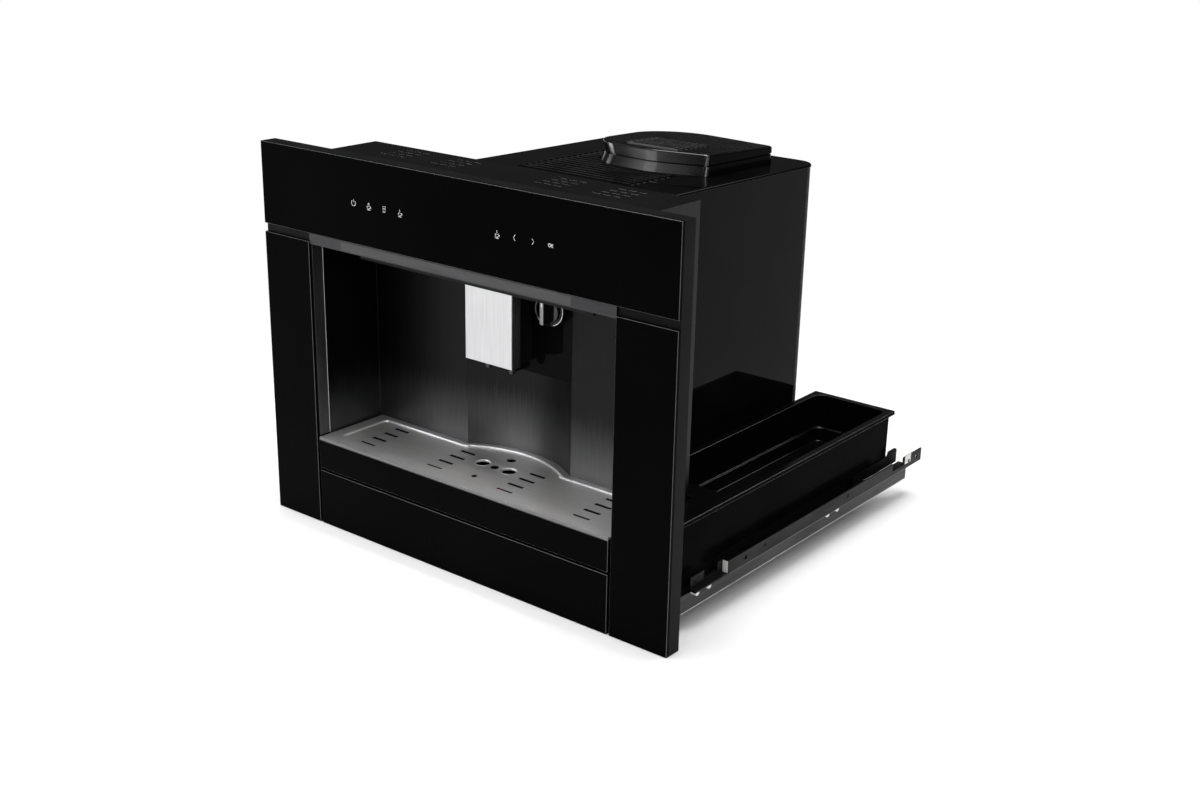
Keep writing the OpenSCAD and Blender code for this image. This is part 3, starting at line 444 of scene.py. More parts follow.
def front_glass():
    f = Finish("black backed glass", (0.0012, 0.0012, 0.0014), rough=0.035, level=0.013)
    f.colour(f.grain(160, detail=1), (0.0007, 0.0007, 0.0008), (0.0012, 0.0012, 0.0013))
    f.spread(f.grain(60, (1, 1, 2.5), detail=4), 0.02, 0.06, start=0.35, end=0.75)
    f.relief(f.grain(240, detail=1), 0.05, 0.15)
    return f.mat


def ground_edge():
    f = Finish("ground glass edge", (0.055, 0.057, 0.057), rough=0.3)
    f.colour(f.grain(3), (0.04, 0.042, 0.042), (0.07, 0.072, 0.072))
    f.relief(f.grain(0.4), 0.02, 0.4)
    return f.mat


def print_white():
    # The faint emission gives all white print a painted glow.
    f = Finish("white touch print with painted glow", (0.7, 0.7, 0.7), rough=0.5, Emission_Color=(1, 1, 1, 1),
               Emission_Strength=0.2)
    f.colour(f.grain(0.5), (0.62, 0.62, 0.62), (0.76, 0.76, 0.76))
    return f.mat


def brushed(name, dark, light, along="X", low=0.26, high=0.4, level=0.5, depth=0.02, rise=None):
    """Metal with fine brush marks along one axis, and painted paler towards the foot if it has a rise: a
    painted glow of light from below.
    """
    stretch = {"X": (60, 1, 1), "Y": (1, 60, 1), "Z": (1, 1, 60)}[along]
    middle = [(a + b) / 2 for a, b in zip(dark, light)]
    f = Finish(name, middle, metal=1, rough=(low + high) / 2, level=level)
    marks = f.grain(0.9, stretch, detail=4)
    if rise:
        marks = f.painted_glow_by_height(marks, *rise)
    f.colour(marks, dark, light)
    apart = (3, 7, 5)
    f.spread(f.grain(2.2, stretch, detail=2, shift=apart), low, high)
    f.relief(f.grain(0.45, stretch, detail=2), depth, 0.3)
    return f.mat


def lamp_lens():
    f = Finish("frosted lamp lens", (0.8, 0.8, 0.78), rough=0.5, Transmission_Weight=0.2,
               Emission_Color=(1, 0.97, 0.92, 1))
    f.colour(f.grain(4), (0.7, 0.7, 0.68), (0.85, 0.85, 0.82))
    f.spread(f.grain(12, (3, 1, 1)), 12.0, 16.0, into="Emission Strength")
    f.relief(f.grain(1.5), 0.1, 0.5)
    return f.mat


def circuit():
    f = Finish("green solder mask", (0.01, 0.09, 0.035), rough=0.3)
    tracks = f.cells(3.2, "DISTANCE_TO_EDGE", (1, 1, 1.8))
    f.colour(tracks, (0.03, 0.2, 0.08), (0.008, 0.075, 0.03), 0.04, 0.1)
    f.relief(tracks, 0.04, 0.5)
    f.spread(f.grain(9), 0.22, 0.4)
    return f.mat


def gloss_plastic(name="polished black plastic", level=0.035, low=0.02, high=0.06):
    f = Finish(name, (0.0022, 0.0022, 0.0024), rough=(low + high) / 2, level=level)
    f.colour(f.grain(70, detail=1), (0.0017, 0.0017, 0.0019), (0.0028, 0.0028, 0.003))
    f.spread(f.grain(28, detail=4), low, high)
    f.relief(f.grain(45, detail=1), 0.08, 0.2)
    return f.mat


def grained_plastic():
    f = Finish("fine grained black plastic", (0.005, 0.005, 0.0053), rough=0.5, level=0.12)
    f.colour(f.grain(24), (0.0038, 0.0038, 0.004), (0.0065, 0.0065, 0.0068))
    f.spread(f.grain(8), 0.44, 0.6)
    f.relief(f.cells(0.75), 0.05, 0.35)
    return f.mat


def motor_paint():
    f = Finish("lacquered motor steel", (0.14, 0.14, 0.145), metal=0.6, rough=0.36)
    f.colour(f.grain(18), (0.11, 0.11, 0.115), (0.17, 0.17, 0.175))
    f.spread(f.grain(6), 0.3, 0.45)
    f.relief(f.grain(2.2, (1, 1, 12)), 0.04, 0.3)
    return f.mat


def brewer_grey():
    f = Finish("satin brewer plastic", (0.1, 0.1, 0.105), rough=0.42)
    f.colour(f.grain(30), (0.085, 0.085, 0.09), (0.115, 0.115, 0.12))
    f.spread(f.grain(9), 0.36, 0.5)
    f.relief(f.grain(0.7), 0.04, 0.3)
    return f.mat


def cast_metal():
    f = Finish("cast aluminium", (0.5, 0.5, 0.51), metal=1, rough=0.5)
    f.colour(f.grain(8), (0.4, 0.4, 0.41), (0.58, 0.58, 0.59))
    f.spread(f.grain(3), 0.42, 0.62)
    f.relief(f.grain(1.1, detail=5), 0.15, 0.5)
    return f.mat


def silicone():
    f = Finish("milky silicone hose", (0.7, 0.7, 0.66), rough=0.35, Subsurface_Weight=0.15)
    f.colour(f.grain(7), (0.62, 0.62, 0.57), (0.76, 0.76, 0.72))
    f.relief(f.grain(1.5), 0.03, 0.3)
    return f.mat


def brass():
    f = Finish("machined brass", (0.6, 0.45, 0.2), metal=1, rough=0.28)
    f.colour(f.grain(0.8, (1, 40, 1)), (0.5, 0.36, 0.15), (0.68, 0.52, 0.25))
    f.relief(f.grain(0.6, (1, 30, 1)), 0.03, 0.3)
    return f.mat


def smoked_tank():
    f = Finish("smoked clear plastic", (0.13, 0.135, 0.145), rough=0.06, Transmission_Weight=0.9, IOR=1.49)
    f.colour(f.grain(60, detail=1), (0.11, 0.115, 0.122), (0.15, 0.157, 0.166))
    f.spread(f.grain(20, (1, 1, 3)), 0.04, 0.12)
    f.relief(f.grain(120, detail=0), 0.1, 0.1)
    return f.mat


def chrome():
    f = Finish("polished chrome", (0.7, 0.7, 0.71), metal=1, rough=0.08)
    f.spread(f.grain(4), 0.05, 0.14)
    f.colour(f.grain(20), (0.62, 0.62, 0.63), (0.76, 0.76, 0.77))
    return f.mat


def red_plastic():
    f = Finish("red float plastic", (0.45, 0.04, 0.03), rough=0.35)
    f.colour(f.grain(5), (0.38, 0.03, 0.025), (0.5, 0.05, 0.04))
    f.relief(f.grain(0.7), 0.03, 0.3)
    return f.mat


FINISHES = {
    "painted_steel": powder_coat(),
    "zinc_steel": zinc_plate(),
    "white_nylon": white_plastic(),
    "black_glass": front_glass(),
    "strip_steel": brushed("brushed strip steel", (0.045, 0.045, 0.047), (0.065, 0.065, 0.068), "X",
                           0.3, 0.42),
    "lamp_lens": lamp_lens(),
    "circuit_board": circuit(),
    # The niche steel is painted paler towards its foot: a painted glow from the lit grid below.
    "dark_brushed_steel": brushed("dark brushed steel with painted glow", (0.016, 0.016, 0.0165), (0.11, 0.11, 0.113), "Z",
                                  0.3, 0.4, depth=0.008, rise=(0.2, 0.1)),
    "gloss_black": gloss_plastic(),
    "matte_black": grained_plastic(),
    "burr_steel": brushed("ground burr steel", (0.42, 0.42, 0.43), (0.6, 0.6, 0.62), "Y", 0.24, 0.36),
    "motor_steel": motor_paint(),
    "brewer_plastic": brewer_grey(),
    "cast_aluminium": cast_metal(),
    "hose_rubber": silicone(),
    "valve_brass": brass(),
    "tank_plastic": smoked_tank(),
    "silver_face": brushed("satin silver face", (0.62, 0.62, 0.63), (0.74, 0.74, 0.75), "Z",
                           0.3, 0.42),
    "chrome_trim": chrome(),
    "brushed_grid": brushed("brushed grid steel", (0.67, 0.67, 0.675), (0.77, 0.77, 0.775), "X",
                            0.44, 0.54, depth=0.01),
    "float_red": red_plastic(),
}
RAIL = rail_steel()
# Plain white for the bracket's jog and ear faces: a painted highlight on their bare steel.
JOG_PAINTED_HIGHLIGHT = white_plastic("pressed steel face, painted white highlight")
BRACKET = bracket_steel()
LID_DARK = gloss_plastic("satin lid plastic", 0.012, 0.12, 0.2)
LID_GLOSS = gloss_plastic("lacquered lid plastic", 0.35, 0.14, 0.22)
TRAY_BLACK = gloss_plastic("satin tray plastic", 0.004, 0.14, 0.24)
# A paler copy of the powder coat for the spout's sides: painted light on them.
SPOUT_SIDE_PAINTED_LIGHT = powder_coat("spout side coat, paler for painted light", 3.0)
# A darker copy of the powder coat for the chassis: painted shade on its top.
TOP_COAT_PAINTED_SHADE = powder_coat("top coat, darker for painted shade", 0.6)
# A darker copy of the grid steel for its front lip: painted shade.
GRID_LIP_PAINTED_SHADE = brushed("brushed grid lip, darker for painted shade", (0.16, 0.16, 0.162), (0.22, 0.22, 0.223), "X", 0.36, 0.46)
WELL_GLOSS = gloss_plastic("moulded well plastic", 0.3, 0.1, 0.2)
SLAT_GLOSS = gloss_plastic("moulded slat plastic", 0.5, 0.2, 0.32)
RIB_GLOSS = gloss_plastic("polished lid ribs", 1.0, 0.2, 0.3)
SIDE_SHEET = brushed("bare folded sheet", (0.018, 0.018, 0.0185), (0.024, 0.024, 0.0245), "Z",
                     0.3, 0.4, depth=0.006)
# Bright steel on the rail's lower edge: a painted highlight.
FOLD_PAINTED_HIGHLIGHT = brushed("folded edge, painted highlight", (0.45, 0.45, 0.45), (0.6, 0.6, 0.6), "Y", 0.25, 0.35)
TRIM_PLATE = brushed("grey trim plate", (0.14, 0.14, 0.143), (0.19, 0.19, 0.193), "Z", 0.3, 0.4)
DARK_CHROME = brushed("smoked chrome", (0.05, 0.05, 0.052), (0.08, 0.08, 0.083), "Y", 0.08, 0.16)
# Pale steel on the vents' far walls and the bracket's lower folds: painted highlights.
CUT_EDGE_PAINTED_HIGHLIGHT = brushed("cut sheet edge, painted highlight", (0.1, 0.1, 0.1), (0.15, 0.15, 0.15), "Y", 0.3, 0.4)
EDGE = ground_edge()
PRINT_WITH_PAINTED_GLOW = print_white()
POLISHED = brushed("polished grid edge", (0.86, 0.86, 0.86), (0.94, 0.94, 0.94), "X", 0.4, 0.5)
INSERT = brushed("light strip insert", (0.07, 0.07, 0.072), (0.1, 0.1, 0.103), "X", 0.3, 0.4)
# Paler brushed metal for the grip's front face and its left side; on the left side it is a painted
# highlight.
GRIP_FACE_PAINTED_HIGHLIGHT = brushed("brushed grip face with painted highlight", (0.25, 0.25, 0.253), (0.32, 0.32, 0.323), "Z", 0.26, 0.36)
TRIM = brushed("bright trim edge", (0.5, 0.5, 0.5), (0.62, 0.62, 0.62), "Z", 0.2, 0.3)


def wear(o, *mats):
    o.data.materials.clear()
    for m in mats:
        o.data.materials.append(m)


def add(o, body, mat=None):
    """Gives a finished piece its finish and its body."""
    if mat:
        wear(o, mat)
    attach(o, body)
    return o


def place(o, node, mat=None):
    """Puts a finished piece in the place of a CAD node, in the node's finish unless it has its own."""
    if not mat and not o.data.materials:
        mat = FINISHES[SLOT_OF[node]]
    add(o, BODY_OF[node], mat)
    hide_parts(node)
    return o


for node, o in NODES.items():
    wear(o, FINISHES[SLOT_OF[node]])


# Sheet metal and moulded boxes

FACING = 0.9            # a face's normal along an axis that it looks straight along
LEANING = 0.5           # and along one that it only leans to
EDGE_BREAKS = {
    "front_frame": 0.45, "base_pan": 0.5, "deck": 0.4, "tray_shelf": 0.4,
    "side_panel_left": 0.5, "side_panel_right": 0.5, "rear_cover": 0.5,
    "centre_panel": 0.3, "header_strip": 0.3, "bean_hopper": 0.5,
    "grinder_housing": 1.2, "grinder_motor": 1.5, "brew_frame": 1.5, "brew_chamber": 0.8,
    "brew_piston": 0.8, "thermoblock": 2.5, "steam_valve": 1.2, "mains_inlet": 0.8,
    "drip_tray": 0.5, "drawer": 0.5, "grounds_container": 0.5, "lower_burr": 0.4, "upper_burr": 0.4,
    "touch_board": 0.2, "power_board": 0.2, "niche_lamp": 0.8, "niche_liner": 0.4,
    "spout_housing": 0.6, "tray_float": 0.8,
}
RAIL_FINISHES = {"cabinet_bracket": BRACKET, "outer_rail": RAIL, "middle_rail": RAIL, "inner_rail": RAIL}
RAIL_BREAK = 0.4


def dressed(node, width, steps=2, mat=None):
    """A CAD node's own shape with its edges broken."""
    return place(soften(from_cad(node), width, steps), node, mat)


for node, width in EDGE_BREAKS.items():
    dressed(node, width)
for kind, mat in RAIL_FINISHES.items():
    for hand in ("left", "right"):
        dressed(f"{kind}_{hand}", RAIL_BREAK, mat=mat)


def chassis():
    """The chassis box, with bare sheet sides, pale walls in its vents as painted highlights, and a darker
    coat as painted shade on its top.
    """
    vents_low, vents_high = (-225, 26, 442), (225, 116, 456)
    side_x = 233.5
    o = from_cad("chassis")
    # The darker top coat is painted shade; the pale cut edge on the vents' far walls is a painted
    # highlight.
    wear(o, TOP_COAT_PAINTED_SHADE, SIDE_SHEET, CUT_EDGE_PAINTED_HIGHLIGHT)
    refinish(o, 2, lambda c, n: within(c, vents_low, vents_high) and n.y < -LEANING)
    refinish(o, 1, lambda c, n: abs(c.x) > side_x and abs(n.x) > FACING)
    return place(soften(o, 0.35), "chassis")


def side_tray():
    """The accessory tray, glossier in its well, on its lip and along its edges."""
    well_low, well_high = (165, 154, 60), (263.2, 507.2, 121)
    lip_z = 121.5
    o = from_cad("side_tray")
    wear(o, TRAY_BLACK, WELL_GLOSS, RIB_GLOSS)
    refinish(o, 1, lambda c, n: within(c, well_low, well_high) or c.z > lip_z and n.z > LEANING)
    return place(soften(o, 1.1, 3, slot=2), "side_tray")


COVER_TOP = 430         # at the cover's near edge, from where it slopes down
COVER_NEAR = 120
COVER_SLOPE = math.tan(math.radians(1.2))


def over_cover(p):
    """How high a point in front millimetres lies over the sloping top cover."""
    return p.z - COVER_TOP + (p.y - COVER_NEAR) * COVER_SLOPE


def top_cover():
    """The top cover, a little inside the body's walls, with a rounded rim."""
    left, right, back, rim_back = -108, 122, 462, 485
    near_edge = COVER_NEAR + 2
    hinge_left, hinge_right = -60, 80
    side_step, back_step = 1.8, 1.3
    o = from_cad("top_cover")
    move_points(o, lambda p: p.x > right, dx=-side_step)
    move_points(o, lambda p: p.x < left, dx=side_step)
    move_points(o, lambda p: p.y > back and not hinge_left < p.x < hinge_right, dy=-back_step)

    def on_rim(p):
        return (p.x > right or p.x < left or p.y > rim_back) and over_cover(p) > -0.3

    round_edges(o, lambda a, b: on_rim(a) and on_rim(b) and max(a.y, b.y) > near_edge, 2.6, 5)
    return place(soften(o, 0.8, 3), "top_cover")


def bean_lid():
    """The bean lid: a waist between its base and its cap, a rounded and slightly tilted cap, and gloss
    on its front, its ribs and its near corner."""
    waist_low, base_top, waist_high = 11, 12, 13.8
    cap_low, cap_high, rib_low = 20, 26, 26.7
    corner_x = 100
    right_wall, base_middle = (114, 430, 440), (100, 400, 440)
    cap_middle, cap_front = (30, 430, 440), (30, 282, 453)
    tilt = math.radians(2)
    o = from_cad("bean_lid")
    places = [front_mm(v.co) for v in o.data.vertices]
    foot = [p.to_2d() for p in places if over_cover(p) < 1]

    def over_foot(p, reach):
        return min((p.to_2d() - q).length for q in foot) < reach

    def on_shoulder(p):
        return waist_low < over_cover(p) < base_top and over_foot(p, 0.9)

    def on_cap_rim(p):
        return cap_high < over_cover(p) < rib_low and over_foot(p, 4)

    def in_waist(p):
        return waist_low < over_cover(p) < waist_high and not on_shoulder(p)

    def in_cap(p):
        return over_cover(p) > cap_low

    resize_points(o, in_waist, (0.955, 1, 1), right_wall)
    resize_points(o, on_shoulder, (0.975, 0.975, 1), base_middle)
    resize_points(o, in_cap, (1, 0.985, 1), cap_middle)
    wear(o, LID_DARK, LID_GLOSS, RIB_GLOSS)
    refinish(o, 1, lambda c, n: n.y < -LEANING and over_cover(c) < cap_high)
    refinish(o, 2, lambda c, n: over_cover(c) > rib_low or c.x > corner_x and -0.93 < n.y < -0.4)
    round_edges(o, lambda a, b: on_cap_rim(a) and on_cap_rim(b), 2.2, 5)
    pick_points(o, in_cap)
    bpy.ops.transform.rotate(value=tilt, orient_axis="X", center_override=at(*cap_front))
    done()
    return place(soften(o, 1.4, 4, 30), "bean_lid")


chassis()
side_tray()
top_cover()
dressed("water_tank", 0.6)
dressed("tank_lid", 1.6, 4)
bean_lid()
dressed("cup_rack", 1.2, 3, SLAT_GLOSS)


# Glass panes

def pane(node):
    """A glass pane: a plate whose front edges are ground to an arris."""
    low, high = (front_mm(corner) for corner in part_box(node))
    o = block(low, high, node + "_pane")
    wear(o, FINISHES["black_glass"], EDGE)
    round_edges(o, lambda a, b: same(a.y, low.y) and same(b.y, low.y), 0.5, 1, slot=1)
    return place(soften(o, 0.25), node)


for node in ("control_glass", "side_glass_left", "side_glass_right", "tray_glass", "drawer_glass"):
    pane(node)


# Printed touch symbols

ICON_Z = 405.3
ICON_HALF = 3.2         # half the height of a plain symbol
LETTER_HALF = 1.7
LETTER_WIDTH = 0.6
CUP_HALF, CUP_HIGH = 2.4, 2.08


def line_of_ink(points, width=0.46, closed=False):
    """A printed line through points given as X and Z on the control glass."""
    o = round_wire([at(x, 0, z) for x, z in points], width / 2, 2, "line", closed)
    flatten(o, (1, 0.12, 1), at(0, 0, 0))
    return o


def arc(x, z, r, start, end, steps=18, squash=1.0):
    turns = [math.radians(start + (end - start) * i / steps) for i in range(steps + 1)]
    return [(x + r * math.cos(t), z + r * squash * math.sin(t)) for t in turns]


def power(x):
    """An open ring with a stroke through its gap."""
    return [line_of_ink(arc(x, ICON_Z, ICON_HALF, 130, 410)),
            line_of_ink([(x, ICON_Z + 3.7), (x, ICON_Z + 0.7)])]


def cup(x, z):
    """A cup seen from the side, with its handle and its saucer."""
    w, h = CUP_HALF, CUP_HIGH
    foot = z - h
    bowl = [(x - w, z + h / 2), (x - w * 0.85, z - h * 0.45), (x - w * 0.4, foot), (x + w * 0.4, foot),
            (x + w * 0.85, z - h * 0.45), (x + w, z + h / 2)]
    return [line_of_ink(bowl, closed=True), line_of_ink(arc(x + w, z - h * 0.1, h * 0.45, -80, 80, 8)),
            line_of_ink([(x - w, foot - 1.0), (x + w, foot - 1.0)])]


def cup_and_bean(x):
    return cup(x, ICON_Z - 1.1) + [line_of_ink(arc(x, ICON_Z + 2.2, 1.0, 0, 360, 12), closed=True)]


def glass(x):
    """A tapered glass with its level."""
    top, foot, level = 2.0, 1.3, 1.7
    low, high, filled = ICON_Z - ICON_HALF, ICON_Z + ICON_HALF, ICON_Z + 0.8
    return [line_of_ink([(x - top, high), (x - foot, low), (x + foot, low), (x + top, high)], closed=True),
            line_of_ink([(x - level, filled), (x + level, filled)])]


def steaming_cup(x):
    wisp = [(x + dx, ICON_Z + dz) for dx, dz in ((-0.2, 0.9), (0.3, 1.8), (-0.4, 2.7), (0.1, 3.6))]
    return cup(x, ICON_Z - 1.3) + [line_of_ink(wisp)]


def chevron(x, way):
    """An arrow that points along X one way or the other."""
    back = x - way * ICON_HALF * 0.75
    return [line_of_ink([(back, ICON_Z + ICON_HALF), (x, ICON_Z), (back, ICON_Z - ICON_HALF)])]


def ok_word(x):
    high, low = ICON_Z + LETTER_HALF, ICON_Z - LETTER_HALF
    stem, tip = x + 2.7, x + 4.8
    return [line_of_ink(arc(x, ICON_Z, 1.45, 0, 360, 16, 1.15), LETTER_WIDTH, closed=True),
            line_of_ink([(stem, high), (stem, low)], LETTER_WIDTH),
            line_of_ink([(tip, high), (stem + 0.2, ICON_Z), (tip, low)], LETTER_WIDTH)]


symbols = together("touch_symbols", *power(-145), *cup_and_bean(-121), *glass(-97), *steaming_cup(-73),
                   *steaming_cup(67), *chevron(89.4, -1), *chevron(116.6, 1), *ok_word(137.2))
add(symbols, "machine", PRINT_WITH_PAINTED_GLOW)


# Niche trim, lamp hood and header insert

NICHE_HALF = 222
NICHE_FOOT, NICHE_TOP = 111.5, 345.6


def trim_part(name, depth, width, break_width, steps, mat, hand):
    """An upright strip on the niche's side wall, between two depths."""
    near, far = depth
    o = block((-NICHE_HALF, near, NICHE_FOOT), (-NICHE_HALF + width, far, NICHE_TOP), f"{name}_{hand}")
    soften(o, break_width, steps)
    if hand == "right":
        mirror(o)
    return add(o, "machine", mat)


for hand in ("left", "right"):
    trim_part("niche_trim", (4.2, 19.4), 0.7, 0.2, 2, TRIM_PLATE, hand)
    trim_part("niche_rim", (19.2, 20.2), 1.1, 0.35, 3, TRIM, hand)


def lamp_hood():
    """A shallow frame round the lamp, open above and below."""
    low, high = Vector((-173, 33, 331)), Vector((168, 53, 346))
    wall = Vector((2.8, 2.8, 0))
    past = Vector((0, 0, 11))
    o = cut(block(low, high, "lamp_hood"), block(low + wall - past, high - wall + past))
    return add(soften(o), "machine", FINISHES["matte_black"])


def header_insert():
    """A lighter strip laid on the header."""
    left, right, foot, top = -170, 165, 347.4, 357.4
    near, far = 1.25, 1.6
    o = soften(block((left, near, foot), (right, far, top), "header_insert"), 0.15)
    return add(o, "machine", INSERT)


lamp_hood()
header_insert()


# Coffee spout

SPOUT_HALF = 34.5
SPOUT_FOOT, SPOUT_TOP = 236, 340
SPOUT_NEAR, SHELL_NEAR, SHELL_FAR = 59, 61, 76


def spout_body():
    """The spout's shell, its sides in a paler coat as painted light, and the neck that slides on the
    housing's rod.
    """
    neck_half, neck_near, neck_far = 26, 74, 103.7
    rod_half, rod_near = 10.3, 89.7
    past = 6
    shell = block((-SPOUT_HALF, SHELL_NEAR, SPOUT_FOOT), (SPOUT_HALF, SHELL_FAR, SPOUT_TOP), "spout_shell")
    round_edges(shell, lambda a, b: upright(a, b) and a.y > SHELL_FAR - 6, 3)
    wear(shell, FINISHES["matte_black"], SPOUT_SIDE_PAINTED_LIGHT)
    # The shell's sides take the paler coat: painted light.
    refinish(shell, 1, lambda c, n: abs(n.x) > FACING)
    neck = block((-neck_half, neck_near, SPOUT_FOOT), (neck_half, neck_far, SPOUT_TOP), "spout_neck")
    wear(neck, FINISHES["matte_black"])
    cut(neck, block((-rod_half, rod_near, SPOUT_FOOT - past),
                    (rod_half, neck_far + past, SPOUT_TOP + past)))
    return place(soften(together("spout_body_piece", shell, neck), 0.8, 3), "spout_body")


def spout_face():
    """The silver face, rounded at its front edges."""
    o = block((-SPOUT_HALF, SPOUT_NEAR, SPOUT_FOOT), (SPOUT_HALF, SHELL_NEAR, SPOUT_TOP),
              "spout_face_piece")
    round_edges(o, lambda a, b: same(a.y, SPOUT_NEAR) and same(b.y, SPOUT_NEAR), 1.2, 5)
    return place(soften(o, 0.2), "spout_face")


spout_body()
spout_face()
place(soften(from_cad("coffee_nozzles"), 0.5, 3, 25), "coffee_nozzles", DARK_CHROME)


# Steam knob

KNOB_X, KNOB_Z = 59, 303
GRIP_HALF_X, GRIP_HALF_Z = 4.2, 15.5
GRIP_NEAR, GRIP_FAR = 80, 90.5
HOUSING_NEAR = 103.7


def knob():
    """The knob: a dished disc, a tapered grip across it and its spindle."""
    disc_y, disc_radius, disc_deep = 94, 16.5, 12
    rim, dish = 1.8, 1.2
    spindle_y, spindle_radius, spindle_long = 111, 3, 18
    disc = bar((KNOB_X, disc_y, KNOB_Z), disc_radius, disc_deep, "Y", 72, "knob_disc")
    pick_faces(disc, lambda c, n: n.y < -FACING)
    bpy.ops.mesh.inset(thickness=rim / 1000)
    bpy.ops.transform.translate(value=(0, dish / 1000, 0))
    done()
    wear(disc, DARK_CHROME)
    soften(disc, 0.7, 3)
    grip = block((KNOB_X - GRIP_HALF_X, GRIP_NEAR, KNOB_Z - GRIP_HALF_Z),
                 (KNOB_X + GRIP_HALF_X, GRIP_FAR, KNOB_Z + GRIP_HALF_Z), "knob_grip")
    pick_faces(grip, lambda c, n: n.y < -FACING)
    bpy.ops.transform.resize(value=(0.68, 1, 0.94), center_override=at(KNOB_X, GRIP_NEAR, KNOB_Z))
    done()
    round_edges(grip, lambda a, b: abs(a.y - b.y) > 5, 2.2, 4)
    wear(grip, FINISHES["matte_black"], GRIP_FACE_PAINTED_HIGHLIGHT)
    # The front face is the grip's metal face; the metal on its left side, with the right side black, is a
    # painted highlight.
    refinish(grip, 1, lambda c, n: n.y < -FACING or n.x < -LEANING)
    soften(grip, 0.8, 3)
    spindle = bar((KNOB_X, spindle_y, KNOB_Z), spindle_radius, spindle_long, "Y", 32, "knob_spindle")
    wear(spindle, FINISHES["matte_black"])
    soften(spindle, 0.4)
    return place(together("steam_knob_piece", disc, grip, spindle), "steam_knob")


def knob_mark():
    """The white line at the grip's upper end."""
    half_width, foot, top = 0.6, 6, 13.5
    o = block((KNOB_X - half_width, GRIP_NEAR - 0.1, KNOB_Z + foot),
              (KNOB_X + half_width, GRIP_NEAR + 0.4, KNOB_Z + top), "knob_mark")
    return add(soften(o, 0.15), "steam_knob", PRINT_WITH_PAINTED_GLOW)


def knob_ring():
    """The ring round the knob, with a bright rounded front edge."""
    ring_y, outer, inner, deep, past = 99, 18.5, 16.8, 10, 4
    centre = (KNOB_X, ring_y, KNOB_Z)
    o = cut(bar(centre, outer, deep, "Y", 96, "knob_ring_piece"), bar(centre, inner, deep + past, "Y", 96))
    wear(o, DARK_CHROME, FINISHES["chrome_trim"])
    round_edges(o, lambda a, b: same(a.y, b.y) and a.y < ring_y, 0.8, 3, slot=1)
    return place(soften(o, 0.2, 2, 50), "knob_ring")


def knob_signs():
    """Four printed dots beside the ring, for steam and hot water."""
    reach, half, proud = 21.5, 0.5, 0.4
    dots = []
    for turn in (-52, -30, 52, 30):
        x = KNOB_X + reach * math.sin(math.radians(turn))
        z = KNOB_Z + reach * math.cos(math.radians(turn))
        dots.append(block((x - half, HOUSING_NEAR, z - half), (x + half, HOUSING_NEAR + proud, z + half)))
    return add(soften(together("knob_signs", *dots), 0.15), "machine", PRINT_WITH_PAINTED_GLOW)


knob()
knob_mark()
knob_ring()
knob_signs()


# Drip grid

RIM_TOP, BEAD_Z = 109.7, 110.35
HOLE_X, HOLE_Y = 20, 71
FIELD_HALF, FIELD_NEAR, FIELD_FAR = 202, 28, 95
BOW_X, BOW_HALF, BOW_DEEP, BOW_CHORD_Y = 4.5, 78.5, 25, 104
BOW_MARGIN = 9          # from the grid's bowed edge to the bead


def drip_grid():
    """The grid plate, with black walls in its slots and a darker front lip, both painted shade."""
    slot_reach, slots_near, slots_far = 180, 22.6, 85.5
    hole_reach, lip_y = 11, 1.5
    o = from_cad("drip_grid")
    wear(o, FINISHES["brushed_grid"], FINISHES["matte_black"], GRID_LIP_PAINTED_SHADE)

    def in_shaded_slot(c, n):
        off_holes = min(math.hypot(c.x - x, c.y - HOLE_Y) for x in (-HOLE_X, HOLE_X)) > hole_reach
        return abs(n.z) < 0.3 and abs(c.x) < slot_reach and slots_near < c.y < slots_far and off_holes

    # Black slot walls and the darker lip are painted shade.
    refinish(o, 1, in_shaded_slot)
    refinish(o, 2, lambda c, n: c.y < lip_y and n.y < -LEANING)
    return place(soften(o, 0.3, 3, 30), "drip_grid")


def rounded_corner(before, corner, after, radius, steps=6):
    """Points of a path round one corner, given as X and Y."""
    before, corner, after = Vector(before), Vector(corner), Vector(after)
    a = corner + (before - corner).normalized() * radius
    b = corner + (after - corner).normalized() * radius
    shares = [k / steps for k in range(steps + 1)]
    return [(1 - t) ** 2 * a + 2 * t * (1 - t) * corner + t * t * b for t in shares]


def bow(steps=40):
    """The bowed stretch of the bead, an arc that runs from right to left."""
    edge_radius = (BOW_HALF ** 2 + BOW_DEEP ** 2) / (2 * BOW_DEEP)
    centre_y = BOW_CHORD_Y + BOW_DEEP - edge_radius
    radius = edge_radius - BOW_MARGIN
    rise = FIELD_FAR - centre_y
    start = math.degrees(math.atan2(rise, math.sqrt(radius ** 2 - rise ** 2)))
    return arc(BOW_X, centre_y, radius, start, 180 - start, steps)


def grid_bead():
    """The raised line round the grid's field, open at the front."""
    radius, corner_radius = 1.35, 6
    near_right, far_right = (FIELD_HALF, FIELD_NEAR), (FIELD_HALF, FIELD_FAR)
    near_left, far_left = (-FIELD_HALF, FIELD_NEAR), (-FIELD_HALF, FIELD_FAR)
    path = [near_right, *rounded_corner(near_right, far_right, far_left, corner_radius), *bow(),
            *rounded_corner(far_right, far_left, near_left, corner_radius), near_left]
    o = round_wire([at(x, y, BEAD_Z) for x, y in path], radius, 4, "grid_bead")
    flatten(o, (1, 1, 0.95), at(0, 0, BEAD_Z))
    bpy.ops.object.shade_smooth()
    return add(o, "drip_tray", POLISHED)


def hole_rim(x, y):
    """The drawn rim of a spout hole."""
    outer, inner, deep, past = 9.4, 8.7, 2.6, 0.8
    lead_foot, lead_top, lead_deep = 8.6, 9.5, 1.6
    z = RIM_TOP - deep / 2
    o = cut(bar((x, y, z), outer, deep, "Z", 64, "rim"), bar((x, y, z), inner, deep + past, "Z", 64),
            bar((x, y, z + 1), lead_foot, lead_deep, "Z", 64, tip=lead_top))
    return soften(o, 0.25, 3, 30)


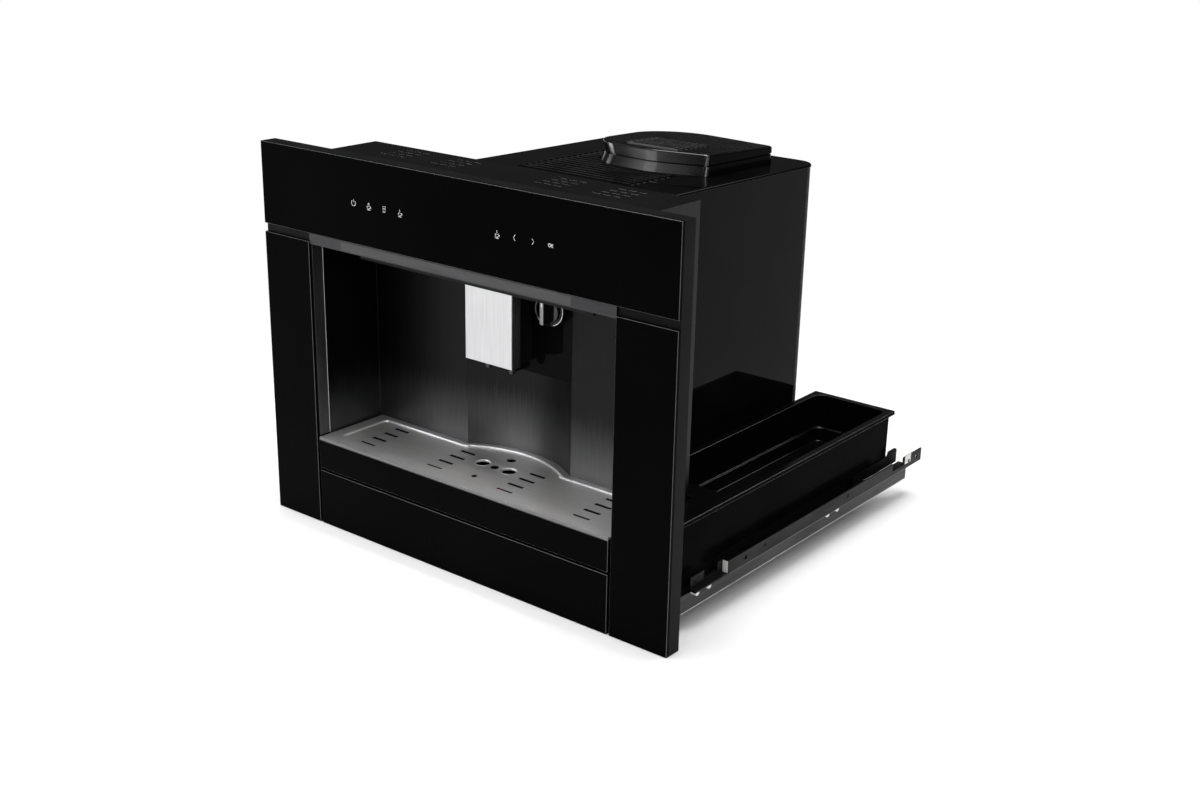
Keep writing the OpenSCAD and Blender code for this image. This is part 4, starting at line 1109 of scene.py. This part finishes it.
drip_grid()
grid_bead()
rims = together("grid_rims", hole_rim(-HOLE_X, HOLE_Y), hole_rim(HOLE_X, HOLE_Y))
add(rims, "drip_tray", POLISHED)


# Rail pads, bracket and screws

PAD_X, PAD_STEP = 277, 5.8
JOG_X, WALL_X = 276.1, 283.1        # the bracket's outer faces before and behind its jog


def rail_pads():
    """The white slide pads, brought out to the bracket's face."""
    o = from_cad("rail_pads")
    for side in (-1, 1):
        move_points(o, lambda p: side * p.x > PAD_X, dx=side * PAD_STEP)
    return place(soften(o, 0.4, 3), "rail_pads")


def screw_head(centre, radius, high, axis, name):
    """A pan head with a cross recess."""
    o = bar(centre, radius, high, axis, 40, name)
    soften(o, high * 0.4, 3, 30)
    x, y, z = centre
    long, thin = radius * 0.55, radius * 0.16
    arms = []
    for across, up in ((long, thin), (thin, long)):
        if axis == "Y":
            arms.append(block((x - across, y, z - up), (x + across, y + high, z + up)))
        else:
            arms.append(block((x, y - across, z - up), (x + high, y + across, z + up)))
    return cut(o, *arms)


def steel_line(low, high, name, mat):
    """A thin folded edge or plate on the cabinet's bracket."""
    o = soften(block(low, high, name), 0.12)
    wear(o, mat)
    return o


def both_sides(o, name, mat=None):
    """Puts a piece on the right rail and a mirrored copy on the left one."""
    o.name = o.data.name = name + "_right"
    c = o.copy()
    c.data = o.data.copy()
    bpy.context.scene.collection.objects.link(c)
    c.name = c.data.name = name + "_left"
    mirror(c)
    for part in (o, c):
        add(part, "cabinet_rails", mat)


def bracket_fold_highlights():
    """The bracket's lower folds, the face of its jog, its ear and the rail's lower edge, all pale or white
    as painted highlights.
    """
    foot, lip, top = 41.7, 42.4, 57.6
    near, jog, far = 71, 130, 574.5
    ear_near, ear_far, ear_foot, ear_top = 531, 546, 48, 61
    rail_near, rail_far, rail_foot, rail_lip = 25.5, 549.5, 20.95, 21.9
    pieces = (
        ((WALL_X - 0.6, jog + 2.5, foot), (WALL_X + 0.05, far, lip), "long_fold", CUT_EDGE_PAINTED_HIGHLIGHT),
        ((JOG_X - 0.6, near, foot), (JOG_X + 0.05, jog, lip), "front_fold", CUT_EDGE_PAINTED_HIGHLIGHT),
        ((JOG_X + 0.1, jog - 0.6, lip), (WALL_X - 0.3, jog - 0.1, top), "jog_face", JOG_PAINTED_HIGHLIGHT),
        ((WALL_X - 0.3, ear_near, ear_foot), (WALL_X + 0.2, ear_far, ear_top), "ear_face", JOG_PAINTED_HIGHLIGHT),
        ((JOG_X - 0.7, rail_near, rail_foot), (JOG_X, rail_far, rail_lip), "rail_fold", FOLD_PAINTED_HIGHLIGHT),
    )
    return together("bracket_fold_highlights", *[steel_line(*piece) for piece in pieces])


def bracket_rivets():
    """The rivets on the bracket, before and behind its jog."""
    z, high, near_radius, far_radius = 50.5, 0.8, 2.0, 2.2
    near_y, far_y = (79, 121), (205, 388, 541)
    near = [screw_head((JOG_X + 0.1, y, z), near_radius, high, "X", "rivet") for y in near_y]
    far = [screw_head((WALL_X + 0.1, y, z), far_radius, high, "X", "rivet") for y in far_y]
    return together("bracket_rivets", *near, *far)


def stop_hook():
    """The stop inside the rail's rear end: a low plate and a taller rounded end."""
    inner_x, outer_x, foot = 263.5, 265.3, 44.2
    plate_near, hook_near, hook_far = 430, 517, 541
    plate_top, hook_top = 59, 63
    hook = block((inner_x, hook_near, foot), (outer_x, hook_far, hook_top))
    round_edges(hook, lambda a, b: same(a.y, b.y) and same(a.z, b.z) and a.z > hook_top - 3, 3, 5)
    plate = block((inner_x, plate_near, foot), (outer_x, hook_near + 1, plate_top))
    return soften(together("stop_hook", hook, plate), 0.4)


rail_pads()
both_sides(bracket_fold_highlights(), "bracket_fold_highlights")
both_sides(bracket_rivets(), "bracket_rivets", BRACKET)
both_sides(stop_hook(), "stop_hook", FINISHES["matte_black"])


# Small things at the back and on the tank

BACK_Y = 490            # the rear cover's outer face
LOUVRES, LOUVRE_STEP, LOUVRE_FOOT = 7, 13, 262
MARKS, MARK_STEP, MARK_FOOT = 7, 26, 96
PINS = ((-96, 130), (-90, 134.5), (-84, 130))
SCREWS_X, SCREWS_Z = (-114, 126), (84, 384)


def louvre(i):
    z = LOUVRE_FOOT + LOUVRE_STEP * i
    return soften(block((-80, BACK_Y - 0.2, z), (90, BACK_Y + 1.2, z + 5)), 0.65, 3)


def inlet_pin(x, z):
    half_x, half_z, near, far = 1, 2.4, 476.5, 484
    return soften(block((x - half_x, near, z - half_z), (x + half_x, far, z + half_z)), 0.4)


def tank_mark(i):
    """A level mark, longer at every second step."""
    z = MARK_FOOT + MARK_STEP * i
    near, far = 150, (168 if i % 2 else 160)
    return soften(block((-258.35, near, z), (-257.9, far, z + 0.9)), 0.1)


louvres = [louvre(i) for i in range(LOUVRES)]
add(together("rear_louvres", *louvres), "machine", FINISHES["matte_black"])
pins = [inlet_pin(x, z) for x, z in PINS]
add(together("inlet_pins", *pins), "machine", FINISHES["burr_steel"])
marks = [tank_mark(i) for i in range(MARKS)]
add(together("tank_marks", *marks), "water_tank", PRINT_WITH_PAINTED_GLOW)
heads = [screw_head((x, BACK_Y + 1, z), 3.5, 2, "Y", "cover_screw") for x in SCREWS_X for z in SCREWS_Z]
place(together("cover_screws_piece", *heads), "cover_screws")


# Floor, light and camera

def larger(tree, a, b):
    """A node that gives the larger of two values."""
    node = tree.nodes.new("ShaderNodeMath")
    node.operation = "MAXIMUM"
    tree.links.new(a, node.inputs[0])
    tree.links.new(b, node.inputs[1])
    return node.outputs[0]


def pale_floor():
    """White near the object, where it takes its shadow, and plain white light further out
    for the camera, gloss and glass."""
    near, far = 0.35, 0.95
    mat = bpy.data.materials.new("pale floor")
    mat.use_nodes = True
    tree = mat.node_tree
    new, link = tree.nodes.new, tree.links.new
    ground = tree.nodes["Principled BSDF"]
    ground.inputs["Base Color"].default_value = (0.92, 0.92, 0.92, 1)
    ground.inputs["Roughness"].default_value = 0.9
    ground.inputs["Specular IOR Level"].default_value = 0
    rays = new("ShaderNodeLightPath").outputs
    seen = larger(tree, rays["Is Camera Ray"], rays["Is Glossy Ray"])
    seen = larger(tree, seen, rays["Is Transmission Ray"])
    away = new("ShaderNodeVectorMath")
    away.operation = "LENGTH"
    link(new("ShaderNodeTexCoord").outputs["Object"], away.inputs[0])
    fade = new("ShaderNodeMapRange")
    fade.interpolation_type = "SMOOTHSTEP"
    fade.inputs["From Min"].default_value = near
    fade.inputs["From Max"].default_value = far
    link(away.outputs["Value"], fade.inputs["Value"])
    both = new("ShaderNodeMath")
    both.operation = "MULTIPLY"
    link(fade.outputs["Result"], both.inputs[0])
    link(seen, both.inputs[1])
    mix = new("ShaderNodeMixShader")
    link(both.outputs[0], mix.inputs["Fac"])
    link(ground.outputs["BSDF"], mix.inputs[1])
    link(new("ShaderNodeEmission").outputs["Emission"], mix.inputs[2])
    link(mix.outputs["Shader"], tree.nodes["Material Output"].inputs["Surface"])
    return mat


def pale_room():
    """A world that is white behind the object and through glass, and a dim room in reflections,
    darkest just over the horizon."""
    greys = {0.02: 0.08, 0.05: 0.03, 0.4: 0.06}
    horizon, zenith = 0.3, 1.0
    world = bpy.data.worlds.new("pale room")
    world.use_nodes = True
    tree = world.node_tree
    tree.nodes.clear()
    new, link = tree.nodes.new, tree.links.new
    up = new("ShaderNodeSeparateXYZ")
    link(new("ShaderNodeTexCoord").outputs["Generated"], up.inputs["Vector"])
    ramp = new("ShaderNodeValToRGB")
    steps = ramp.color_ramp.elements
    steps[0].color = (horizon, horizon, horizon, 1)
    steps[1].color = (zenith, zenith, zenith, 1)
    for height, grey in greys.items():
        steps.new(height).color = (grey, grey, grey, 1)
    link(up.outputs["Z"], ramp.inputs["Fac"])
    room = new("ShaderNodeBackground")
    link(ramp.outputs["Color"], room.inputs["Color"])
    wall = new("ShaderNodeBackground")
    wall.inputs["Color"].default_value = (1, 1, 1, 1)
    rays = new("ShaderNodeLightPath").outputs
    mix = new("ShaderNodeMixShader")
    link(larger(tree, rays["Is Camera Ray"], rays["Is Transmission Ray"]), mix.inputs["Fac"])
    link(room.outputs["Background"], mix.inputs[1])
    link(wall.outputs["Background"], mix.inputs[2])
    link(mix.outputs["Shader"], new("ShaderNodeOutputWorld").inputs["Surface"])
    return world


def softbox(name, stand, aim, size, power):
    """A rectangular light at a place in metres, turned to the point that it is aimed at."""
    lamp = bpy.data.lights.new(name, "AREA")
    lamp.shape = "RECTANGLE"
    lamp.size, lamp.size_y = size
    lamp.energy = power
    o = bpy.data.objects.new(name, lamp)
    bpy.context.scene.collection.objects.link(o)
    o.location = stand
    o.rotation_euler = (Vector(aim) - Vector(stand)).to_track_quat("-Z", "Y").to_euler()
    return o


nothing_picked()
bpy.ops.mesh.primitive_plane_add(size=60, location=(0, 0, -0.0002))
floor = bpy.context.object
floor.name = "floor"
wear(floor, pale_floor())
bpy.context.scene.world = pale_room()

softbox("key_left", (-1.0, -2.4, 0.95), (0, 0, 0.35), (2.0, 0.9), 26)
softbox("low_left", (-1.7, -0.55, 0.35), (0, -0.1, 0.4), (0.6, 0.8), 12)
softbox("fill_right", (2.1, -1.0, 1.3), (0, 0, 0.2), (0.7, 1.5), 12)
softbox("top", (0.0, -0.2, 2.2), (0, 0, 0.3), (1.5, 1.0), 40)
softbox("back_rim", (0.9, 2.2, 2.2), (0, 0, 0.3), (1.4, 0.6), 12)

# The camera that was fitted to the photograph
YAW, PITCH, ROLL = math.radians(-38.083), math.radians(19.653), math.radians(-1.197)
STAND = (1096.6, -1137.9, 774.7)
FOCAL_PIXELS, PHOTO_WIDTH_PIXELS = 1536.9, 1200
SENSOR_WIDTH = 36


def photo_camera():
    ahead = Vector((math.sin(YAW) * math.cos(PITCH), math.cos(YAW) * math.cos(PITCH), -math.sin(PITCH)))
    level = Vector((math.cos(YAW), -math.sin(YAW), 0))
    under = ahead.cross(level)
    side = math.cos(ROLL) * level + math.sin(ROLL) * under
    down = math.cos(ROLL) * under - math.sin(ROLL) * level
    lens = bpy.data.cameras.new("camera")
    lens.sensor_width = SENSOR_WIDTH
    lens.lens = FOCAL_PIXELS / PHOTO_WIDTH_PIXELS * SENSOR_WIDTH
    lens.clip_start = 0.05
    lens.clip_end = 50
    camera = bpy.data.objects.new("camera", lens)
    bpy.context.scene.collection.objects.link(camera)
    turn = Matrix((side, -down, -ahead)).transposed()
    camera.matrix_world = Matrix.Translation(at(*STAND)) @ turn.to_4x4()
    return camera


bpy.context.scene.camera = photo_camera()
bpy.context.scene.view_settings.view_transform = "Standard"
